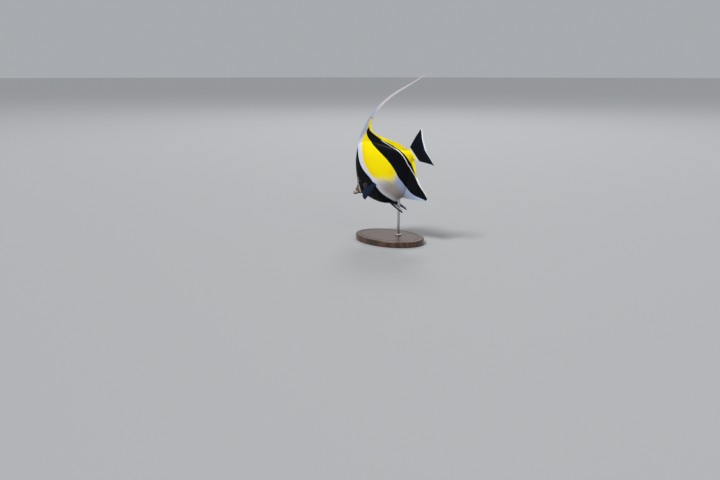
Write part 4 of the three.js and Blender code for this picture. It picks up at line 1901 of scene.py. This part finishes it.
def main() -> None:
    """Builds the fish and its stand in order, then lights and frames them."""
    markings = Markings().group()
    palette = Palette()
    skin = Skin()
    skin.build(LivingSkin("Living skin", markings).material())
    scale_finish = LivingSkin("Scales", markings, roughness=0.4).material()
    eye_finish = EyeFinish().material()
    brow_finish = SpineFinish("Brow spine", palette.black, linear(70, 64, 58)).material()
    for side in Side:
        ScaleCoat(skin, side).build(scale_finish)
        Eyes().build(side, eye_finish)
        foot, lean = (0.217, side.value * 0.047, 0.073), (-0.5, side.value * 0.62, 0.6)
        brow = Spine(f"brow_spine_{side.label}", foot, lean, long=5.4, radius=1.6, curl=0.5)
        brow.build(brow_finish, Slot.FACE)

    web_finish = FinWeb("Fin web", markings).material()
    Fin("dorsal_web", dorsal_sheet, rays=41).build(web_finish, "dorsal_fin")
    Fin("anal_web", anal_sheet, rays=34).build(web_finish, "anal_fin")
    tail = Fin("tail_web", tail_sheet, rays=18, steps=10, root=3.4)
    tail.build(TailFinish().material(), "tail_fin")
    pale_spine = SpineFinish("Fin spine", palette.white, palette.belly_white).material()
    for spine in front_spines("dorsal_spine", FIRST_DORSAL_RAY, FORM.back, 45, 1):
        spine.build(pale_spine, Slot.FIN)
    for spine in front_spines("anal_spine", FIRST_ANAL_RAY, FORM.belly, 36, -1):
        spine.build(pale_spine, Slot.FIN)
    dusky, ray, tip = linear(16, 42, 66), linear(9, 26, 46), linear(28, 37, 60)
    pectoral_finish = PairedFinFinish("Pectoral web", dusky, ray, tip, dusky).material()
    dark, black = palette.blue_black, palette.black
    pelvic_finish = PairedFinFinish(
        "Pelvic web", dark, black, black, linear(206, 220, 232), streak_from=3.1, streak_to=4.05
    ).material()
    pectoral = {"root": 1.1, "edge": 0.22, "lift": 0.26, "branch": 0.4, "flesh": 2.2}
    pelvic = {"steps": 12, "root": 1.7, "edge": 0.3, "lift": 0.5, "flesh": 1.2}
    for side in Side:
        fin = Fin(f"pectoral_{side.label}", PECTORAL, rays=18, mirror=side.value, **pectoral)
        fin.build(pectoral_finish, f"pectoral_fin_{side.label}")
        fin = Fin(f"pelvic_{side.label}", PELVIC, rays=6, mirror=side.value, **pelvic)
        fin.build(pelvic_finish, f"pelvic_fin_{side.label}")
    Streamer().build(StreamerFinish().material())

    stand = Stand()
    stand.build_base(StainedWood().material())
    stand.build_rod(BrushedSteel().material())
    build_studio()


@dataclass(frozen=True)
class Studio:
    """The soft lights and the camera."""

    aim_pixel: tuple[float, float] = (381.2, 171.6)
    frame_pixels: tuple[int, int] = (720, 480)
    lens: float = 35.0
    sensor: float = 36.0
    azimuth: float = math.radians(39.05)
    elevation: float = math.radians(13.58)
    length_pixels: float = 86.0
    lit: Point = (-0.01, 0.0, 0.12)
    key_height: float = math.radians(52)
    key_swing: float = math.radians(-8)
    key_width: float = math.radians(14)
    key_strength: float = 2.55

    def camera(self) -> None:
        """Sets the camera so that the fish's middle falls on its pixel at its true size."""
        data = bpy.data.cameras.new("camera")
        data.lens, data.sensor_width, data.sensor_fit = self.lens, self.sensor, "HORIZONTAL"
        made = bpy.data.objects.new("camera", data)
        bpy.context.scene.collection.objects.link(made)
        bpy.context.scene.camera = made
        a, e = self.azimuth, self.elevation
        back = Vector((math.sin(a) * math.cos(e), -math.cos(a) * math.cos(e), math.sin(e)))
        right = Vector((math.cos(a), math.sin(a), 0))
        up = back.cross(right)
        wide, high = self.frame_pixels
        focal = self.lens / self.sensor * wide
        depth = focal * POSE.length / self.length_pixels
        middle = Vector(POSE.to_frame(np.array([0.50, 0.0, 0.04])))
        across = (self.aim_pixel[0] - wide / 2) / focal * depth
        upward = (high / 2 - self.aim_pixel[1]) / focal * depth
        place = middle + back * depth - right * across - up * upward
        turn = Matrix((right, up, back)).transposed().to_4x4()
        made.matrix_world = Matrix.Translation(place) @ turn
        data.clip_end = 100

    def light(self, name: str, kind: str, power: float, turned: Matrix, size: float) -> Piece:
        """Adds a light and returns it.

        Args:
            name: Its name.
            kind: AREA for a square soft light, or SUN for daylight.
            power: Watts, or the daylight's strength.
            turned: Where it stands and how it is turned.
            size: The side in metres, or the daylight's width in radians.

        Returns:
            The light.
        """
        data = bpy.data.lights.new(name, kind)
        data.energy = power
        setattr(data, "angle" if kind == "SUN" else "size", size)
        made = bpy.data.objects.new(name, data)
        bpy.context.scene.collection.objects.link(made)
        made.matrix_world = turned
        return made

    def lamp(self, name: str, place: Point, size: float, watts: float) -> Piece:
        """Adds a square soft light at place, turned to the model's middle."""
        turn = (Vector(self.lit) - Vector(place)).to_track_quat("-Z", "Y").to_matrix().to_4x4()
        return self.light(name, "AREA", watts, Matrix.Translation(place) @ turn, size)

    def daylight(self) -> None:
        """Adds the key light: wide, soft and even over the whole floor."""
        tilt = Matrix.Rotation(math.pi / 2 - self.key_height, 4, "X")
        turned = Matrix.Rotation(self.key_swing, 4, "Z") @ tilt
        self.light("key", "SUN", self.key_strength, turned, self.key_width)


def build_studio() -> None:
    """Adds the floor, the lights, the surrounding glow and the camera."""
    deselect()
    bpy.ops.mesh.primitive_circle_add(vertices=96, radius=30, fill_type="NGON")
    floor = primitive("floor")
    s = Surface("Pale floor")
    spot = s.spot()
    far = s.add("ShaderNodeVectorMath", operation="LENGTH")
    s.feed(far.inputs[0], spot)
    # Painted shade: the floor is painted darker away from the fish, as if the light fell off with
    # distance, so that it fades into the glow
    near_lit_tone, far_dim_tone = (0.36, 0.365, 0.37, 1), (0.28, 0.285, 0.295, 1)
    tone = s.mix(s.step(far.outputs["Value"], 1.0, 9.0), near_lit_tone, far_dim_tone)
    rough = s.scale(s.noise(spot, 30), 0.1, 0.7)
    floor.data.materials.append(s.done(tone, rough, constants={"Specular IOR Level": 0.2}))
    studio = Studio()
    studio.daylight()
    fill = studio.lamp("fill", (3.6, -1.6, 2.2), size=2.0, watts=30)
    fill.visible_glossy = False  # leaves the eyes clear
    studio.lamp("rim", (-1.6, 2.6, 2.8), size=1.2, watts=40)
    world = bpy.data.worlds.new("glow")
    bpy.context.scene.world = world
    world.use_nodes = True
    glow = world.node_tree.nodes["Background"]
    glow.inputs["Color"].default_value = (0.78, 0.81, 0.85, 1)
    glow.inputs["Strength"].default_value = 0.5
    bpy.context.scene.view_settings.view_transform = "Standard"
    studio.camera()


if __name__ == "__main__":
    main()
